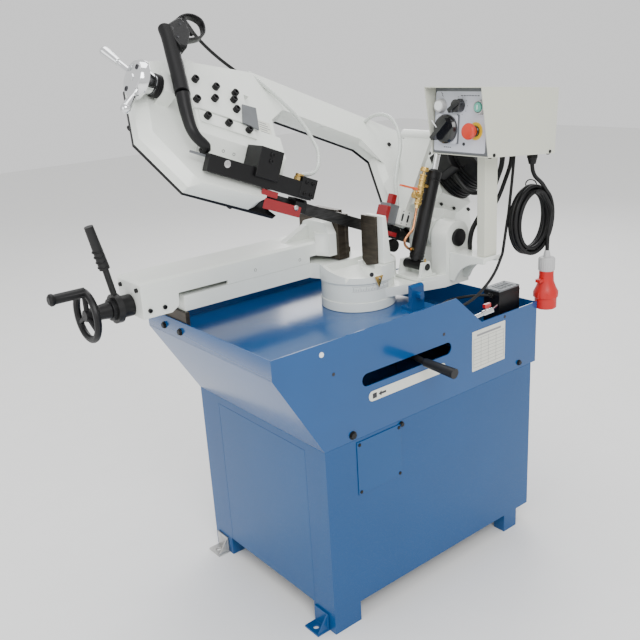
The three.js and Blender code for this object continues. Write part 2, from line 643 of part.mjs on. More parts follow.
// Outlines in the wheel plane, both anticlockwise and with the same corners in the same order.
const REAR_ROUND = (radius) => arc(WHEEL.rear, WHEEL.radius, radius, 202, 400, 16);
const RIM = [[-153, -34.5], [-150, -35], [14, -35], [52, -12], [84, 20], [118, 80], [131, 130], [131, 232],
  [176, FRAME.underside], [450, FRAME.underside], [500, 250], [500, 105], ...REAR_ROUND(175),
  [745, FRAME.top], [100, FRAME.top], [-137, 317], [-204, 283], [-250, 205], [-250, 60]];
const FACE = [[-147, -12], [-124, -30], [40, -24], [46, -14], [60, 10], [98, 76], [120, 128], [126, 232],
  [173, 281], [444, 281], [510, 218], [512, 118], ...REAR_ROUND(167),
  [742, FRAME.top - 3], [102, FRAME.top - 3], [-133, 312], [-196, 278], [-222, 200], [-226, 72]];
const DOOR = [[-152, -35], [88, -37], [96, -30], [78, -20], ...RIM.slice(4, 12), ...REAR_ROUND(171),
  ...RIM.slice(29)];

// The tension slide's room between its guides, their height and the screw's place.
const SLIDE = { y0: 148, y1: 246, top: 52, lug0: -208, lug1: -177, screwY: 178, screwZ: 48 };

function bowFrame() {
  const { back, face, top, underside } = FRAME;
  const bevel = 6;
  const shell = join(slabZ(RIM, back, bevel), loft(RIM, bevel, FACE, face));
  const hollowRim = inset(RIM, 5);
  const cavity = join(slabZ(hollowRim, back - 1, bevel), loft(hollowRim, bevel, inset(FACE, 4), face - 5));
  const frontExit = box(28, 100, -22, 34, back - 1, face - 5);
  const rearExit = box(535, 620, -16, 40, back - 1, face - 5);
  const beamWall = box(300, 312, underside + 3, top - 3, face - 7, face - 1);
  const axleHole = rod([WHEEL.rear, WHEEL.radius, 0], [WHEEL.rear, WHEEL.radius, 40], 22, 24);
  const slideWindow = box(WHEEL.front - 16, WHEEL.front + 16, WHEEL.radius - 11, WHEEL.radius + 11, 10, 30);
  const wheelRoom = (x) => rod([x, WHEEL.radius, back - 1], [x, WHEEL.radius, 17.5], 161, 64);
  const wheelRooms = [wheelRoom(WHEEL.front), wheelRoom(WHEEL.rear)];
  const hollow = cut(shell, cavity, frontExit, rearExit, axleHole, slideWindow, ...wheelRooms);
  const liftPad = box(486, 545, 100, 150, face - 4, 64);
  plane.updateMatrix();
  const casting = join(hollow, beamWall, liftPad, slideGuides()).transform(plane.matrix.elements);
  const armRail = slabX([[258 + GAP, 814], [269, 814], [288, 838], [258 + GAP, 838]], -100, 56);
  return join(casting, armRail, hingeLug(), rearWeb(), liftTube());
}

function wheelCover() {
  const outer = slabZ(DOOR, COVER.back, COVER.front);
  return cut(outer, slabZ(inset(DOOR, 3), COVER.back + 3, COVER.front + 1));
}

// The toothed band: round both wheels, twisted upright between the two guides.
function bandBlade() {
  const { radius, front, rear } = WHEEL;
  const half = BLADE.height / 2;
  const t = BLADE.thickness / 2;
  const r = radius + 0.3 + t;
  const stations = [];
  const straight = (x, y, twist) => stations.push([x, y, 0, 1, twist]);
  const round = (x, from, to, count) => {
    for (let i = 0; i <= count; i++) {
      const angle = (from + ((to - from) * i) / count) * DEG;
      const out = [Math.cos(angle), Math.sin(angle)];
      stations.push([x + r * out[0], radius + r * out[1], -out[0], -out[1], 0]);
    }
  };
  const turn = 90 * DEG - BOW_TILT;
  round(front, 90, 270, 32);
  const lowerRun = [[0, 0.2], [40, 0.45], [85, 0.75], [128, 1], [300, 1], [460, 1], [496, 1],
    [530, 0.75], [575, 0.45], [620, 0.2]];
  lowerRun.forEach(([x, part]) => straight(x, radius - r, turn * part));
  round(rear, 270, 450, 32);
  const position = [];
  stations.forEach(([x, y, nx, ny, twist]) => {
    const c = Math.cos(twist);
    const s = Math.sin(twist);
    [[half, t], [-half, t], [-half, -t], [half, -t]].forEach(([along, across]) => {
      const inwards = across * c + along * s;
      position.push(x + nx * inwards, y + ny * inwards, along * c - across * s);
    });
  });
  const index = [];
  const count = stations.length;
  for (let i = 0; i < count; i++) {
    const a = i * 4;
    const b = ((i + 1) % count) * 4;
    for (let k = 0; k < 4; k++) {
      const n = (k + 1) % 4;
      index.push(a + k, b + k, b + n, a + k, b + n, a + n);
    }
  }
  const geometry = new THREE.BufferGeometry();
  geometry.setAttribute('position', new THREE.Float32BufferAttribute(position, 3));
  geometry.setIndex(index);
  return geometry;
}

function bandWheel(x, bore) {
  const { radius, half } = WHEEL;
  const profile = [[bore, -half], [34, -half], [40, -5], [134, -5], [138, -half], [radius, -half],
    [radius, half], [138, half], [134, 3], [40, 3], [34, half], [bore, half], [bore, -half]];
  const holes = arc(0, 0, 86, 0, 288, 4).map(([a, b]) => rod([a, b, -20], [a, b, 20], 24, 16));
  return cut(lathe(profile, 64), ...holes).translate([x, radius, 0]);
}

function driveWheel() {
  const shaft = rod([WHEEL.rear, WHEEL.radius, -13.8], [WHEEL.rear, WHEEL.radius, 60], 17.5, 24);
  return join(bandWheel(WHEEL.rear, 15), shaft);
}

function tensionBlock() {
  const { front: x, radius: y } = WHEEL;
  const axle = rod([x, y, -13.8], [x, y, 27], 9, 20);
  const slide = box(x - 62, x + 92, SLIDE.y0, SLIDE.y1, FRAME.face + GAP, 58);
  const { screwY, screwZ } = SLIDE;
  const screwHole = rod([x - 70, screwY, screwZ], [x - 12, screwY, screwZ], 8 + GAP, 20);
  return cut(join(axle, slide), screwHole);
}

function tensionScrew() {
  const { screwY: y, screwZ: z, lug0 } = SLIDE;
  const screw = rod([lug0 - 20, y, z], [WHEEL.front - 16, y, z], 8, 16);
  const springs = rod([lug0 - 15, y, z], [lug0 - GAP, y, z], 21, 28);
  const neck = taper([lug0 - 44, y, z], [lug0 - 14, y, z], 30, 20, 28);
  const disc = taper([lug0 - 62, y, z], [lug0 - 42.5, y, z], 34, 40, 36);
  const spokes = [-21, 178].map((angle) => {
    const [a, b] = [Math.cos(angle * DEG), Math.sin(angle * DEG)];
    const at = (r, forward) => [lug0 - 50 - forward, y + r * a, z + r * b];
    const handle = taper(at(62, 23), at(98, 43), 8, 11, 16);
    return join(rod(at(20, 0), at(68, 26), 6, 10), handle, ball(at(96, 42), 11));
  });
  return join(screw, springs, neck, disc, ...spokes);
}

function slideGuides() {
  const z = FRAME.face - 1;
  const lower = loft([[-128, 50], [106, 50], [106, 147], [-128, 147]], z,
    [[-128, 84], [106, 84], [106, 147], [-128, 147]], SLIDE.top);
  const upper = box(-128, 40, SLIDE.y1 + 1, 292, z, SLIDE.top);
  const lug = box(SLIDE.lug0, SLIDE.lug1, 154, 206, z, 66);
  const { lug0, lug1, screwY, screwZ } = SLIDE;
  const screwHole = rod([lug0 - 1, screwY, screwZ], [lug1 + 1, screwY, screwZ], 8 + GAP, 20);
  return join(lower, upper, cut(lug, screwHole));
}

function guideArm() {
  return join(box(-122, 164, 240, 258, 808, 845), box(126, 170, 238, 262, 812, 857));
}

function guideClamp() {
  return join(box(-6, 56, 232, 287.5, 845 + GAP, 892), box(-6, 56, 232, 240 - GAP, 826, 850));
}

// Jaws that hold the band upright; the slot is open downwards.
function guideBlock(x0, x1) {
  const y = BLADE.y;
  const outline = [[y - 1.3, 776], [y - 1.3, 803.6], [y + 1.3, 803.6], [y + 1.3, 776], [y + 14, 776],
    [y + 14, 807.7], [y - 14, 807.7], [y - 20, 800], [y - 20, 776]];
  return slabX(outline, x0, x1);
}

function rearWeb() {
  const y = BLADE.y;
  const web = slabX([[y - 14, 808.3], [y + 16, 808.3], [y + 34, 900], [y + 44, 1050], [y - 50, 1050], [y - 30, 900]],
    482, 494);
  return join(web, box(455, 494, y - 14, y + 16, 808.3, 850));
}

function liftTube() {
  return rod([490.6, 197, 1048], [490.6, 330, 1048], 13, 24);
}

function hingeLug() {
  const { x, z, radius } = PIVOT;
  const y0 = 193 + GAP;
  const y1 = 245 - GAP;
  const boss = rod([x, y0, z], [x, y1, z], 38, 32);
  const bore = rod([x, y0 - 10, z], [x, y1 + 10, z], radius + GAP, 32);
  const neck = slabY([[x - 12, z + 30], [x + 34, z - 4], [x + 44, z + 20], [x + 44, z + 65], [x + 2, z + 65]],
    y0, y1);
  const bridge = slabX([[y1 - 20, z + 20], [y1 + 39, z + 20], [y1 + 77, z + 65], [y1 - 20, z + 65]],
    x + 4, x + 44);
  const earRoom = rod([x, y1, z], [x, 260, z], 43, 32);
  return cut(join(boss, neck, cut(bridge, earRoom)), bore);
}

function gearbox() {
  const { rear, radius } = WHEEL;
  const housing = rod([rear, radius, FRAME.face + GAP], [rear, radius, 62], 78, 40);
  const worm = box(rear - 60, rear + 60, radius - 62, radius + 62, 50, 100);
  const bore = rod([rear, radius, 0], [rear, radius, 66], 18.5, 24);
  return cut(join(housing, worm), bore);
}

function driveMotor() {
  const { rear, radius } = WHEEL;
  const body = rod([rear, radius, 100 + GAP], [rear, radius, 196], 64, 32);
  const fan = rod([rear, radius, 195], [rear, radius, 214], 60, 32);
  const terminal = box(rear - 92, rear - 40, radius - 34, radius + 34, 118, 172);
  return join(body, fan, terminal);
}

function pistolGrip() {
  const spine = [[-121, 43, 38, 9], [-122, 43, 54, 11], [-148, 53, 62, 12], [-163, 70, 68, 13],
    [-173, 107, 76, 14.5], [-179, 140, 84, 16], [-185, 184, 91, 17], [-192, 224, 98, 18],
    [-197, 262, 106, 18.5]];
  const links = spine.slice(1).map((end, i) => {
    const start = spine[i];
    return join(taper(start.slice(0, 3), end.slice(0, 3), start[3], end[3], 16), ball(end.slice(0, 3), end[3]));
  });
  const guard = [[-188, 240], [-214, 280], [-176, 326], [-143, 361], [-110, 366], [-100, 350], [-106, 318],
    [-125, 296], [-161, 271], [-174, 240]];
  const opening = [[-151, 297], [-129, 311], [-119, 323], [-114, 346], [-120, 352], [-140, 347]];
  const slot = [[-166, 300], [-150, 290], [-130, 300], [-134, 352], [-166, 352]];
  return cut(join(...links, slabZ(guard, 97, 119)), slabZ(opening, 90, 130), slabZ(slot, 104, 112));
}

function trigger() {
  return slabZ([[-161, 348], [-150, 348], [-143, 326], [-135, 304], [-141, 302], [-152, 316], [-161, 340]],
    104 + GAP, 112 - GAP);
}

function buildBow() {
  add(bow, 'bow_frame', bowFrame(), WHITE);
  add(plane, 'wheel_cover', wheelCover(), BLACK);
  add(plane, 'band_blade', bandBlade(), STEEL);
  add(plane, 'idler_wheel', bandWheel(WHEEL.front, 9.6), STEEL);
  add(plane, 'drive_wheel', driveWheel(), STEEL);
  add(plane, 'tension_block', tensionBlock(), WHITE);
  add(plane, 'tension_screw', tensionScrew(), CHROME);
  add(bow, 'guide_arm', guideArm(), BLACK);
  add(bow, 'guide_clamp', guideClamp(), BLACK);
  add(bow, 'front_guide', guideBlock(134, 168), BLACK);
  add(bow, 'rear_guide', guideBlock(455, 486), BLACK);
  add(plane, 'gearbox', gearbox(), WHITE);
  add(plane, 'drive_motor', driveMotor(), BLACK);
  add(plane, 'pistol_grip', pistolGrip(), BLACK);
  add(plane, 'trigger', trigger(), BLACK);
  work.add(bowGroup);
}

buildBase();
buildVice();
buildArm();
buildCylinder();
buildBow();

export default machine;
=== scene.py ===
"""Looks of a swivel-head metal-cutting band saw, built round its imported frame.

Shapes are drawn in millimetres in the frame that suits them (the cabinet's, the bow's, the wheel
plane's, the control box's or the feed cylinder's) and turned into the row frame's metres."""
import json
import math

import bmesh
import bpy
from mathutils import Matrix, Vector

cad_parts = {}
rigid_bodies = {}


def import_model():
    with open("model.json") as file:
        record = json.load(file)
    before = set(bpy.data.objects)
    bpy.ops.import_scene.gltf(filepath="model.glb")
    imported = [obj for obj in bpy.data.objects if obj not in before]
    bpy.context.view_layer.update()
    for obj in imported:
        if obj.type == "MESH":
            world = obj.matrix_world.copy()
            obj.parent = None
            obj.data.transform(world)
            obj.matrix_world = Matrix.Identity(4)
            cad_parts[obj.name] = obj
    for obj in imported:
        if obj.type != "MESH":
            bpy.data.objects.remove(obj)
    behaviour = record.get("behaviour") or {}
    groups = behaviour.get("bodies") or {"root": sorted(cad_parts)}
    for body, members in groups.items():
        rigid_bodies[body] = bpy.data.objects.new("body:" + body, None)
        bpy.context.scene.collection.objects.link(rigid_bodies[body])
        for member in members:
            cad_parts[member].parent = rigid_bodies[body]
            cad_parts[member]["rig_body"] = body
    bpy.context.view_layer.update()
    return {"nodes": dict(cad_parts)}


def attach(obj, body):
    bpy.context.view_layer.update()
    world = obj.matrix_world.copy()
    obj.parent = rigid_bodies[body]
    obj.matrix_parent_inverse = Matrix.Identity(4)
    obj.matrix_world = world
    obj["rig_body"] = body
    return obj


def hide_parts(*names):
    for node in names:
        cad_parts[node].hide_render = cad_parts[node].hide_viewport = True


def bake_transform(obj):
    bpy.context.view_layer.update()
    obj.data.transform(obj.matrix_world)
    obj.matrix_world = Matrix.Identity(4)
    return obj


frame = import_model()
NODES = frame["nodes"]

# ---------- driving dimensions in millimetres; the camera's angles are in degrees ----------
MM = 0.001
SHIFT = Vector((-239.3, -216.2, 0.0))
PIVOT = Vector((562.0, 0.0, 815.0))
BOW_LIFT = math.radians(21.5)
BOW_SLOPE = math.radians(49.0)
PANEL_PITCH = math.radians(4.5)
RAM_LEAN = math.radians(18.2)
RING = {"x": 348.0, "y": 272.0, "radius": 92.0}
WHEEL = {"radius": 157.5, "rear": 673.0}
LEAD = {"x": 694.0, "y": 8.0, "radius": 5.0, "turns": 6, "coil_x": 712.0, "coil_z": 847.0,
        "plug_x": 750.0, "plug_y": -3.0}
RAM_FOOT = (480, 200, 750)
VALVE_AXIS = (-39, -4)
TENSION_AXIS = (178, 48)
CORNER_STEPS = 5
WELD_METRES = 0.00001
FLAT_ANGLE = math.radians(1.0)
EDGE_ANGLE = math.radians(32.0)

WORK = Matrix.Scale(MM, 4) @ Matrix.Translation(SHIFT)
BOW = WORK @ Matrix.Translation(PIVOT) @ Matrix.Rotation(BOW_LIFT, 4, "Y") @ Matrix.Translation(-PIVOT)
PLANE = BOW @ Matrix.Translation((0, 274, 789)) @ Matrix.Rotation(BOW_SLOPE, 4, "X")
PANEL = WORK @ Matrix.Translation((474, 0, 1034)) @ Matrix.Rotation(PANEL_PITCH, 4, "Y")
RAM = WORK @ Matrix.Translation(RAM_FOOT) @ Matrix.Rotation(RAM_LEAN, 4, "Y")

CAMERA = {"at": (-939.35, -1215.98, 1291.17), "azimuth": -37.92, "elevation": 18.75, "roll": -3.45,
          "lens": 45.53}


# ---------- camera, lights and floor ----------
def add_camera():
    azimuth, elevation, roll = (math.radians(CAMERA[k]) for k in ("azimuth", "elevation", "roll"))
    back = Vector((math.sin(azimuth) * math.cos(elevation), -math.cos(azimuth) * math.cos(elevation),
                   math.sin(elevation)))
    level = (-back).cross(Vector((0, 0, 1))).normalized()
    upright = level.cross(-back)
    right = level * math.cos(roll) + upright * math.sin(roll)
    up = upright * math.cos(roll) - level * math.sin(roll)
    data = bpy.data.cameras.new("camera")
    data.sensor_width = 36
    data.lens = CAMERA["lens"]
    data.clip_end = 50
    camera = bpy.data.objects.new("camera", data)
    bpy.context.scene.collection.objects.link(camera)
    turn = Matrix((right, up, back)).transposed().to_4x4()
    camera.matrix_world = Matrix.Translation(WORK @ Vector(CAMERA["at"])) @ turn
    bpy.context.scene.camera = camera


def add_light(name, at, energy, size):
    data = bpy.data.lights.new(name, "AREA")
    data.energy = energy
    data.size = size
    lamp = bpy.data.objects.new(name, data)
    bpy.context.scene.collection.objects.link(lamp)
    aim = Vector((0, 0, 0.7)) - Vector(at)
    lamp.matrix_world = Matrix.Translation(at) @ aim.to_track_quat("-Z", "Y").to_matrix().to_4x4()


def add_surroundings():
    world = bpy.data.worlds.new("studio")
    world.use_nodes = True
    background = world.node_tree.nodes["Background"]
    background.inputs["Color"].default_value = (1, 1, 1, 1)
    background.inputs["Strength"].default_value = 1.0
    bpy.context.scene.world = world
    add_light("key", (-1.6, -3.2, 3.4), 130, 2.4)
    add_light("fill", (-3.6, -0.4, 1.6), 30, 2.5)
    add_light("top", (0.3, 0.6, 4.0), 70, 2.5)
    add_light("rim", (2.8, 2.6, 2.4), 45, 2.0)
    mesh = bpy.data.meshes.new("floor")
    half = 9.0
    corners = [(-half, -half, 0), (half, -half, 0), (half, half, 0), (-half, half, 0)]
    mesh.from_pydata(corners, [], [(0, 1, 2, 3)])
    floor = bpy.data.objects.new("floor", mesh)
    bpy.context.scene.collection.objects.link(floor)
    floor.data.materials.append(LOOKS["floor"])


# ---------- materials ----------
def node(tree, kind, **inputs):
    made = tree.nodes.new(kind)
    for name, value in inputs.items():
        made.inputs[name.replace("_", " ")].default_value = value
    return made


def tinted(tree, color, factor_socket, spread):
    """The colour, moved darker and lighter by spread as the factor goes from 0 to 1."""
    ramp = tree.nodes.new("ShaderNodeValToRGB")
    low, high = ramp.color_ramp.elements
    low.position, high.position = 0.3, 0.72
    low.color = (*[c * (1 - spread) for c in color], 1)
    high.color = (*[min(1.0, c * (1 + spread)) for c in color], 1)
    tree.links.new(factor_socket, ramp.inputs["Fac"])
    return ramp.outputs["Color"]


def look(name, color, roughness, metallic=0.0, coat=0.0, mottle=0.05, patch=9.0, grain=600.0, bump=0.0,
         bump_grain=None, stretch=(1, 1, 1), rough_spread=0.08, edge=None, transmission=0.0, specular=0.5):
    """A surface with patches of colour, a fine grain in its gloss, a relief, and optionally a lighter
    colour on convex edges, which is a painted highlight on the blue, cast and black surfaces and wear on
    the jaw and brass.
    """
    material = bpy.data.materials.new(name)
    material.use_nodes = True
    tree = material.node_tree
    shader = tree.nodes["Principled BSDF"]
    shader.inputs["Metallic"].default_value = metallic
    shader.inputs["Coat Weight"].default_value = coat
    shader.inputs["Coat Roughness"].default_value = 0.12
    shader.inputs["Transmission Weight"].default_value = transmission
    shader.inputs["Specular IOR Level"].default_value = specular
    place = tree.nodes.new("ShaderNodeTexCoord")
    mapping = node(tree, "ShaderNodeMapping", Scale=stretch)
    tree.links.new(place.outputs["Object"], mapping.inputs["Vector"])
    patches = node(tree, "ShaderNodeTexNoise", Scale=patch, Detail=4.0, Roughness=0.6)
    fine = node(tree, "ShaderNodeTexNoise", Scale=grain, Detail=2.0, Roughness=0.5)
    for texture in (patches, fine):
        tree.links.new(mapping.outputs["Vector"], texture.inputs["Vector"])
    surface = tinted(tree, color, patches.outputs["Fac"], mottle)
    if edge:
        surface = worn_and_highlit_edges(tree, surface, edge)
    tree.links.new(surface, shader.inputs["Base Color"])
    gloss = node(tree, "ShaderNodeMapRange", To_Min=max(0.02, roughness - rough_spread),
                 To_Max=min(1.0, roughness + rough_spread))
    tree.links.new(fine.outputs["Fac"], gloss.inputs["Value"])
    tree.links.new(gloss.outputs["Result"], shader.inputs["Roughness"])
    if bump:
        relief = node(tree, "ShaderNodeTexNoise", Scale=bump_grain or grain, Detail=3.0)
        tree.links.new(mapping.outputs["Vector"], relief.inputs["Vector"])
        bumps = node(tree, "ShaderNodeBump", Strength=bump, Distance=0.0006)
        tree.links.new(relief.outputs["Fac"], bumps.inputs["Height"])
        tree.links.new(bumps.outputs["Normal"], shader.inputs["Normal"])
    return material


def worn_and_highlit_edges(tree, surface, color):
    """Mixes in the edge colour where the mesh is sharply convex: a painted edge highlight on the blue, cast
    and black surfaces, worn metal on the jaw and brass.
    """
    geometry = tree.nodes.new("ShaderNodeNewGeometry")
    sharp = node(tree, "ShaderNodeMapRange", From_Min=0.56, From_Max=0.66, To_Min=0.0, To_Max=0.55)
    tree.links.new(geometry.outputs["Pointiness"], sharp.inputs["Value"])
    mix = tree.nodes.new("ShaderNodeMix")
    mix.data_type = "RGBA"
    colors = {socket.name: socket for socket in mix.inputs if socket.type == "RGBA"}
    colors["B"].default_value = (*color, 1)
    tree.links.new(sharp.outputs["Result"], mix.inputs["Factor"])
    tree.links.new(surface, colors["A"])
    return next(socket for socket in mix.outputs if socket.type == "RGBA")


LOOKS = {
    "floor": look("floor", (0.86, 0.86, 0.85), 0.6, mottle=0.01),
    # painted highlight: a lighter blue on convex edges
    "blue": look("blue", (0.0005, 0.06, 0.2), 0.25, coat=0.15, specular=0.35, mottle=0.05, patch=3.0,
                 grain=900, bump=0.06, bump_grain=500, edge=(0.01, 0.12, 0.3)),
    "tray": look("tray", (0.0005, 0.065, 0.22), 0.18, coat=0.3, specular=0.4, mottle=0.08, patch=2.5,
                 bump=0.05, bump_grain=350),
    # painted highlight: a lighter white on convex edges
    "cast": look("cast", (0.78, 0.81, 0.76), 0.34, coat=0.25, mottle=0.035, patch=6, grain=500, bump=0.22,
                 bump_grain=260, edge=(0.86, 0.88, 0.85)),
    "cream": look("cream", (0.62, 0.63, 0.54), 0.36, coat=0.2, mottle=0.03, patch=3.5, bump=0.12,
                  bump_grain=700),
    # painted highlight: a slightly lighter black on convex edges
    "black": look("black", (0.004, 0.004, 0.0045), 0.4, mottle=0.3, patch=12, bump=0.12, bump_grain=420,
                  edge=(0.02, 0.02, 0.02), specular=0.3),
    "black_sheet": look("black_sheet", (0.004, 0.004, 0.005), 0.36, mottle=0.25, patch=5, bump=0.05,
                        specular=0.3),
    "plastic": look("plastic", (0.004, 0.004, 0.0045), 0.42, mottle=0.2, bump=0.1, bump_grain=1800,
                    specular=0.3),
    "gloss_black": look("gloss_black", (0.01, 0.01, 0.011), 0.16, coat=0.5, mottle=0.1),
    "rubber": look("rubber", (0.004, 0.004, 0.0045), 0.5, mottle=0.3, patch=30, bump=0.12, bump_grain=900,
                   specular=0.3),
    "steel": look("steel", (0.46, 0.46, 0.45), 0.3, metallic=1.0, mottle=0.12, patch=25, bump=0.12,
                  bump_grain=220, stretch=(1, 8, 8)),
    "galvanised": look("galvanised", (0.5, 0.5, 0.49), 0.36, metallic=1.0, mottle=0.2, patch=60, bump=0.1),
    "jaw": look("jaw", (0.05, 0.04, 0.03), 0.4, metallic=0.75, mottle=0.45, patch=26, bump=0.16,
                bump_grain=180, stretch=(1, 1, 5), edge=(0.22, 0.2, 0.17)),
    "band": look("band", (0.045, 0.045, 0.045), 0.36, metallic=0.9, mottle=0.35, patch=40, bump=0.05,
                 stretch=(1, 6, 6)),
    "chrome": look("chrome", (0.78, 0.79, 0.8), 0.1, metallic=1.0, mottle=0.03, rough_spread=0.04),
    "brass": look("brass", (0.62, 0.4, 0.12), 0.24, metallic=1.0, mottle=0.12, patch=40,
                  edge=(0.8, 0.6, 0.25)),
    "copper": look("copper", (0.6, 0.26, 0.12), 0.26, metallic=1.0, mottle=0.15, patch=60),
    "iron": look("iron", (0.14, 0.14, 0.14), 0.5, metallic=0.7, mottle=0.3, patch=20, bump=0.3,
                 bump_grain=200),
    "red": look("red", (0.45, 0.006, 0.006), 0.3, coat=0.3, mottle=0.06),
    "guard_red": look("guard_red", (0.26, 0.003, 0.008), 0.35, coat=0.2, mottle=0.1, patch=20),
    "plug_red": look("plug_red", (0.5, 0.008, 0.006), 0.42, mottle=0.06, patch=30, bump=0.08,
                     bump_grain=900),
    "orange": look("orange", (0.74, 0.1, 0.02), 0.36, coat=0.2, mottle=0.06),
    "mushroom": look("mushroom", (0.6, 0.035, 0.012), 0.32, coat=0.3, mottle=0.04),
    "yellow": look("yellow", (0.8, 0.5, 0.02), 0.4, mottle=0.04),
    "green": look("green", (0.12, 0.42, 0.33), 0.32, coat=0.3, mottle=0.04),
    "foil": look("foil", (0.6, 0.62, 0.68), 0.38, mottle=0.02, bump=0.03),
    "label": look("label", (0.68, 0.69, 0.62), 0.36, mottle=0.03, bump=0.03),
    # Dark ink for print and small dark parts, also laid into holes and slots as painted shade.
    "dark_ink_and_hole_shade": look("dark_ink_and_hole_shade", (0.02, 0.02, 0.025), 0.5, mottle=0.1),
    "grey_ink": look("grey_ink", (0.25, 0.25, 0.26), 0.5, mottle=0.1),
    "grey": look("grey", (0.16, 0.17, 0.18), 0.45, metallic=0.4, mottle=0.12, patch=15, bump=0.1),
    "pale_grey": look("pale_grey", (0.5, 0.5, 0.5), 0.4, mottle=0.05, bump=0.05),
    "lens": look("lens", (0.86, 0.88, 0.88), 0.2, coat=0.5, mottle=0.02),
    "hose": look("hose", (0.66, 0.7, 0.66), 0.28, coat=0.4, mottle=0.06, patch=18, transmission=0.25),
    "bright_screw": look("bright_screw", (0.6, 0.6, 0.6), 0.25, metallic=1.0, mottle=0.1, patch=80),
}


# ---------- mesh helpers, all in millimetres ----------
def skin(bm, rings):
    """Joins rings of the same number of points into a closed surface."""
    rows = [[bm.verts.new(p) for p in ring] for ring in rings]
    count = len(rows[0])
    for low, high in zip(rows, rows[1:]):
        for i in range(count):
            j = (i + 1) % count
            bm.faces.new((low[i], low[j], high[j], high[i]))
    bm.faces.new(list(reversed(rows[0])))
    bm.faces.new(rows[-1])


def turned(bm, profile, at, axis, sides=28, radius_at=None):
    """A solid of revolution: profile holds (radius, height along the axis) from the bottom up."""
    turn = Vector(axis).normalized().to_track_quat("Z", "Y").to_matrix()
    rings = []
    for radius, height in profile:
        ring = []
        for i in range(sides):
            angle = 2 * math.pi * i / sides
            r = radius_at(radius, angle) if radius_at else radius
            ring.append(Vector(at) + turn @ Vector((r * math.cos(angle), r * math.sin(angle), height)))
        rings.append(ring)
    skin(bm, rings)


def rod(bm, start, end, radius, end_radius=None, sides=24):
    """A round bar with chamfered ends, tapered if end_radius is given."""
    end_radius = radius if end_radius is None else end_radius
    length = (Vector(end) - Vector(start)).length
    chamfer = min(0.8, radius * 0.4, length * 0.3)
    profile = [(radius - chamfer, 0), (radius, chamfer), (end_radius, length - chamfer),
               (end_radius - chamfer, length)]
    turned(bm, profile, start, Vector(end) - Vector(start), sides)


def block(bm, low, high, round_by=0.0):
    """A box; round_by rounds its corners in the plane of its two longest sides."""
    size = [h - l for l, h in zip(low, high)]
    thin = size.index(min(size))
    a, b = [k for k in range(3) if k != thin]
    outline = rounded_outline(low[a], low[b], high[a], high[b], round_by)
    rings = []
    for level in (low[thin], high[thin]):
        ring = []
        for p, q in outline:
            point = [0.0, 0.0, 0.0]
            point[thin], point[a], point[b] = level, p, q
            ring.append(point)
        rings.append(ring)
    skin(bm, rings)


def rounded_outline(x0, y0, x1, y1, radius):
    if radius <= 0:
        return [(x0, y0), (x1, y0), (x1, y1), (x0, y1)]
    points = []
    corners = [(x1 - radius, y0 + radius, -90), (x1 - radius, y1 - radius, 0),
               (x0 + radius, y1 - radius, 90), (x0 + radius, y0 + radius, 180)]
    for cx, cy, start in corners:
        for i in range(CORNER_STEPS + 1):
            angle = math.radians(start + 90 * i / CORNER_STEPS)
            points.append((cx + radius * math.cos(angle), cy + radius * math.sin(angle)))
    return points


def prism(bm, outline, level0, level1, across=2):
    """An outline in the two axes other than `across`, raised between two levels of that axis."""
    axes = [k for k in range(3) if k != across]
    rings = []
    for level in (level0, level1):
        ring = []
        for p, q in outline:
            point = [0.0, 0.0, 0.0]
            point[across], point[axes[0]], point[axes[1]] = level, p, q
            ring.append(point)
        rings.append(ring)
    skin(bm, rings)


def socket_screw(bm, at, axis, radius, height):
    """A cap screw with a hexagon socket."""
    def hexagonal(r, angle):
        if r > radius * 0.7:
            return r
        return r * math.cos(math.pi / 6) / math.cos((angle % (math.pi / 3)) - math.pi / 6)
    inner = radius * 0.55
    profile = [(radius, 0), (radius, height * 0.9), (radius * 0.92, height), (inner, height),
               (inner, height * 0.45)]
    turned(bm, profile, at, axis, 24, hexagonal)


def hex_bolt(bm, at, axis, radius, height):
    """A hexagon head on its washer."""
    turned(bm, [(radius * 1.25, 0), (radius * 1.25, height * 0.25)], at, axis, 24)
    base = Vector(at) + Vector(axis).normalized() * height * 0.25
    turned(bm, [(radius, 0), (radius, height * 0.7), (radius * 0.9, height * 0.8)], base, axis, 6)


def curve_through(points, step):
    """Points every `step` millimetres along a smooth curve through the given ones."""
    p = [Vector(q) for q in points]
    ends = [p[0] * 2 - p[1]] + p + [p[-1] * 2 - p[-2]]
    dense = []
    for a, b, c, d in zip(ends, ends[1:], ends[2:], ends[3:]):
        count = max(2, int((c - b).length / step))
        for i in range(count):
            t = i / count
            dense.append(0.5 * (2 * b + (c - a) * t + (2 * a - 5 * b + 4 * c - d) * t * t
                                + (3 * b - 3 * c + d - a) * t ** 3))
    dense.append(p[-1])
    return dense


def sweep(bm, path, radius, sides=14, radius_at=None):
    """A round tube along a path, kept from twisting."""
    tangents = [(b - a).normalized() for a, b in zip(path, path[1:])]
    tangents.append(tangents[-1])
    side = tangents[0].orthogonal().normalized()
    rings = []
    for i, (centre, along) in enumerate(zip(path, tangents)):
        side = (side - along * side.dot(along)).normalized()
        other = along.cross(side)
        r = radius_at(i) if radius_at else radius
        rings.append([centre + side * r * math.cos(a) + other * r * math.sin(a)
                      for a in (2 * math.pi * k / sides for k in range(sides))])
    skin(bm, rings)


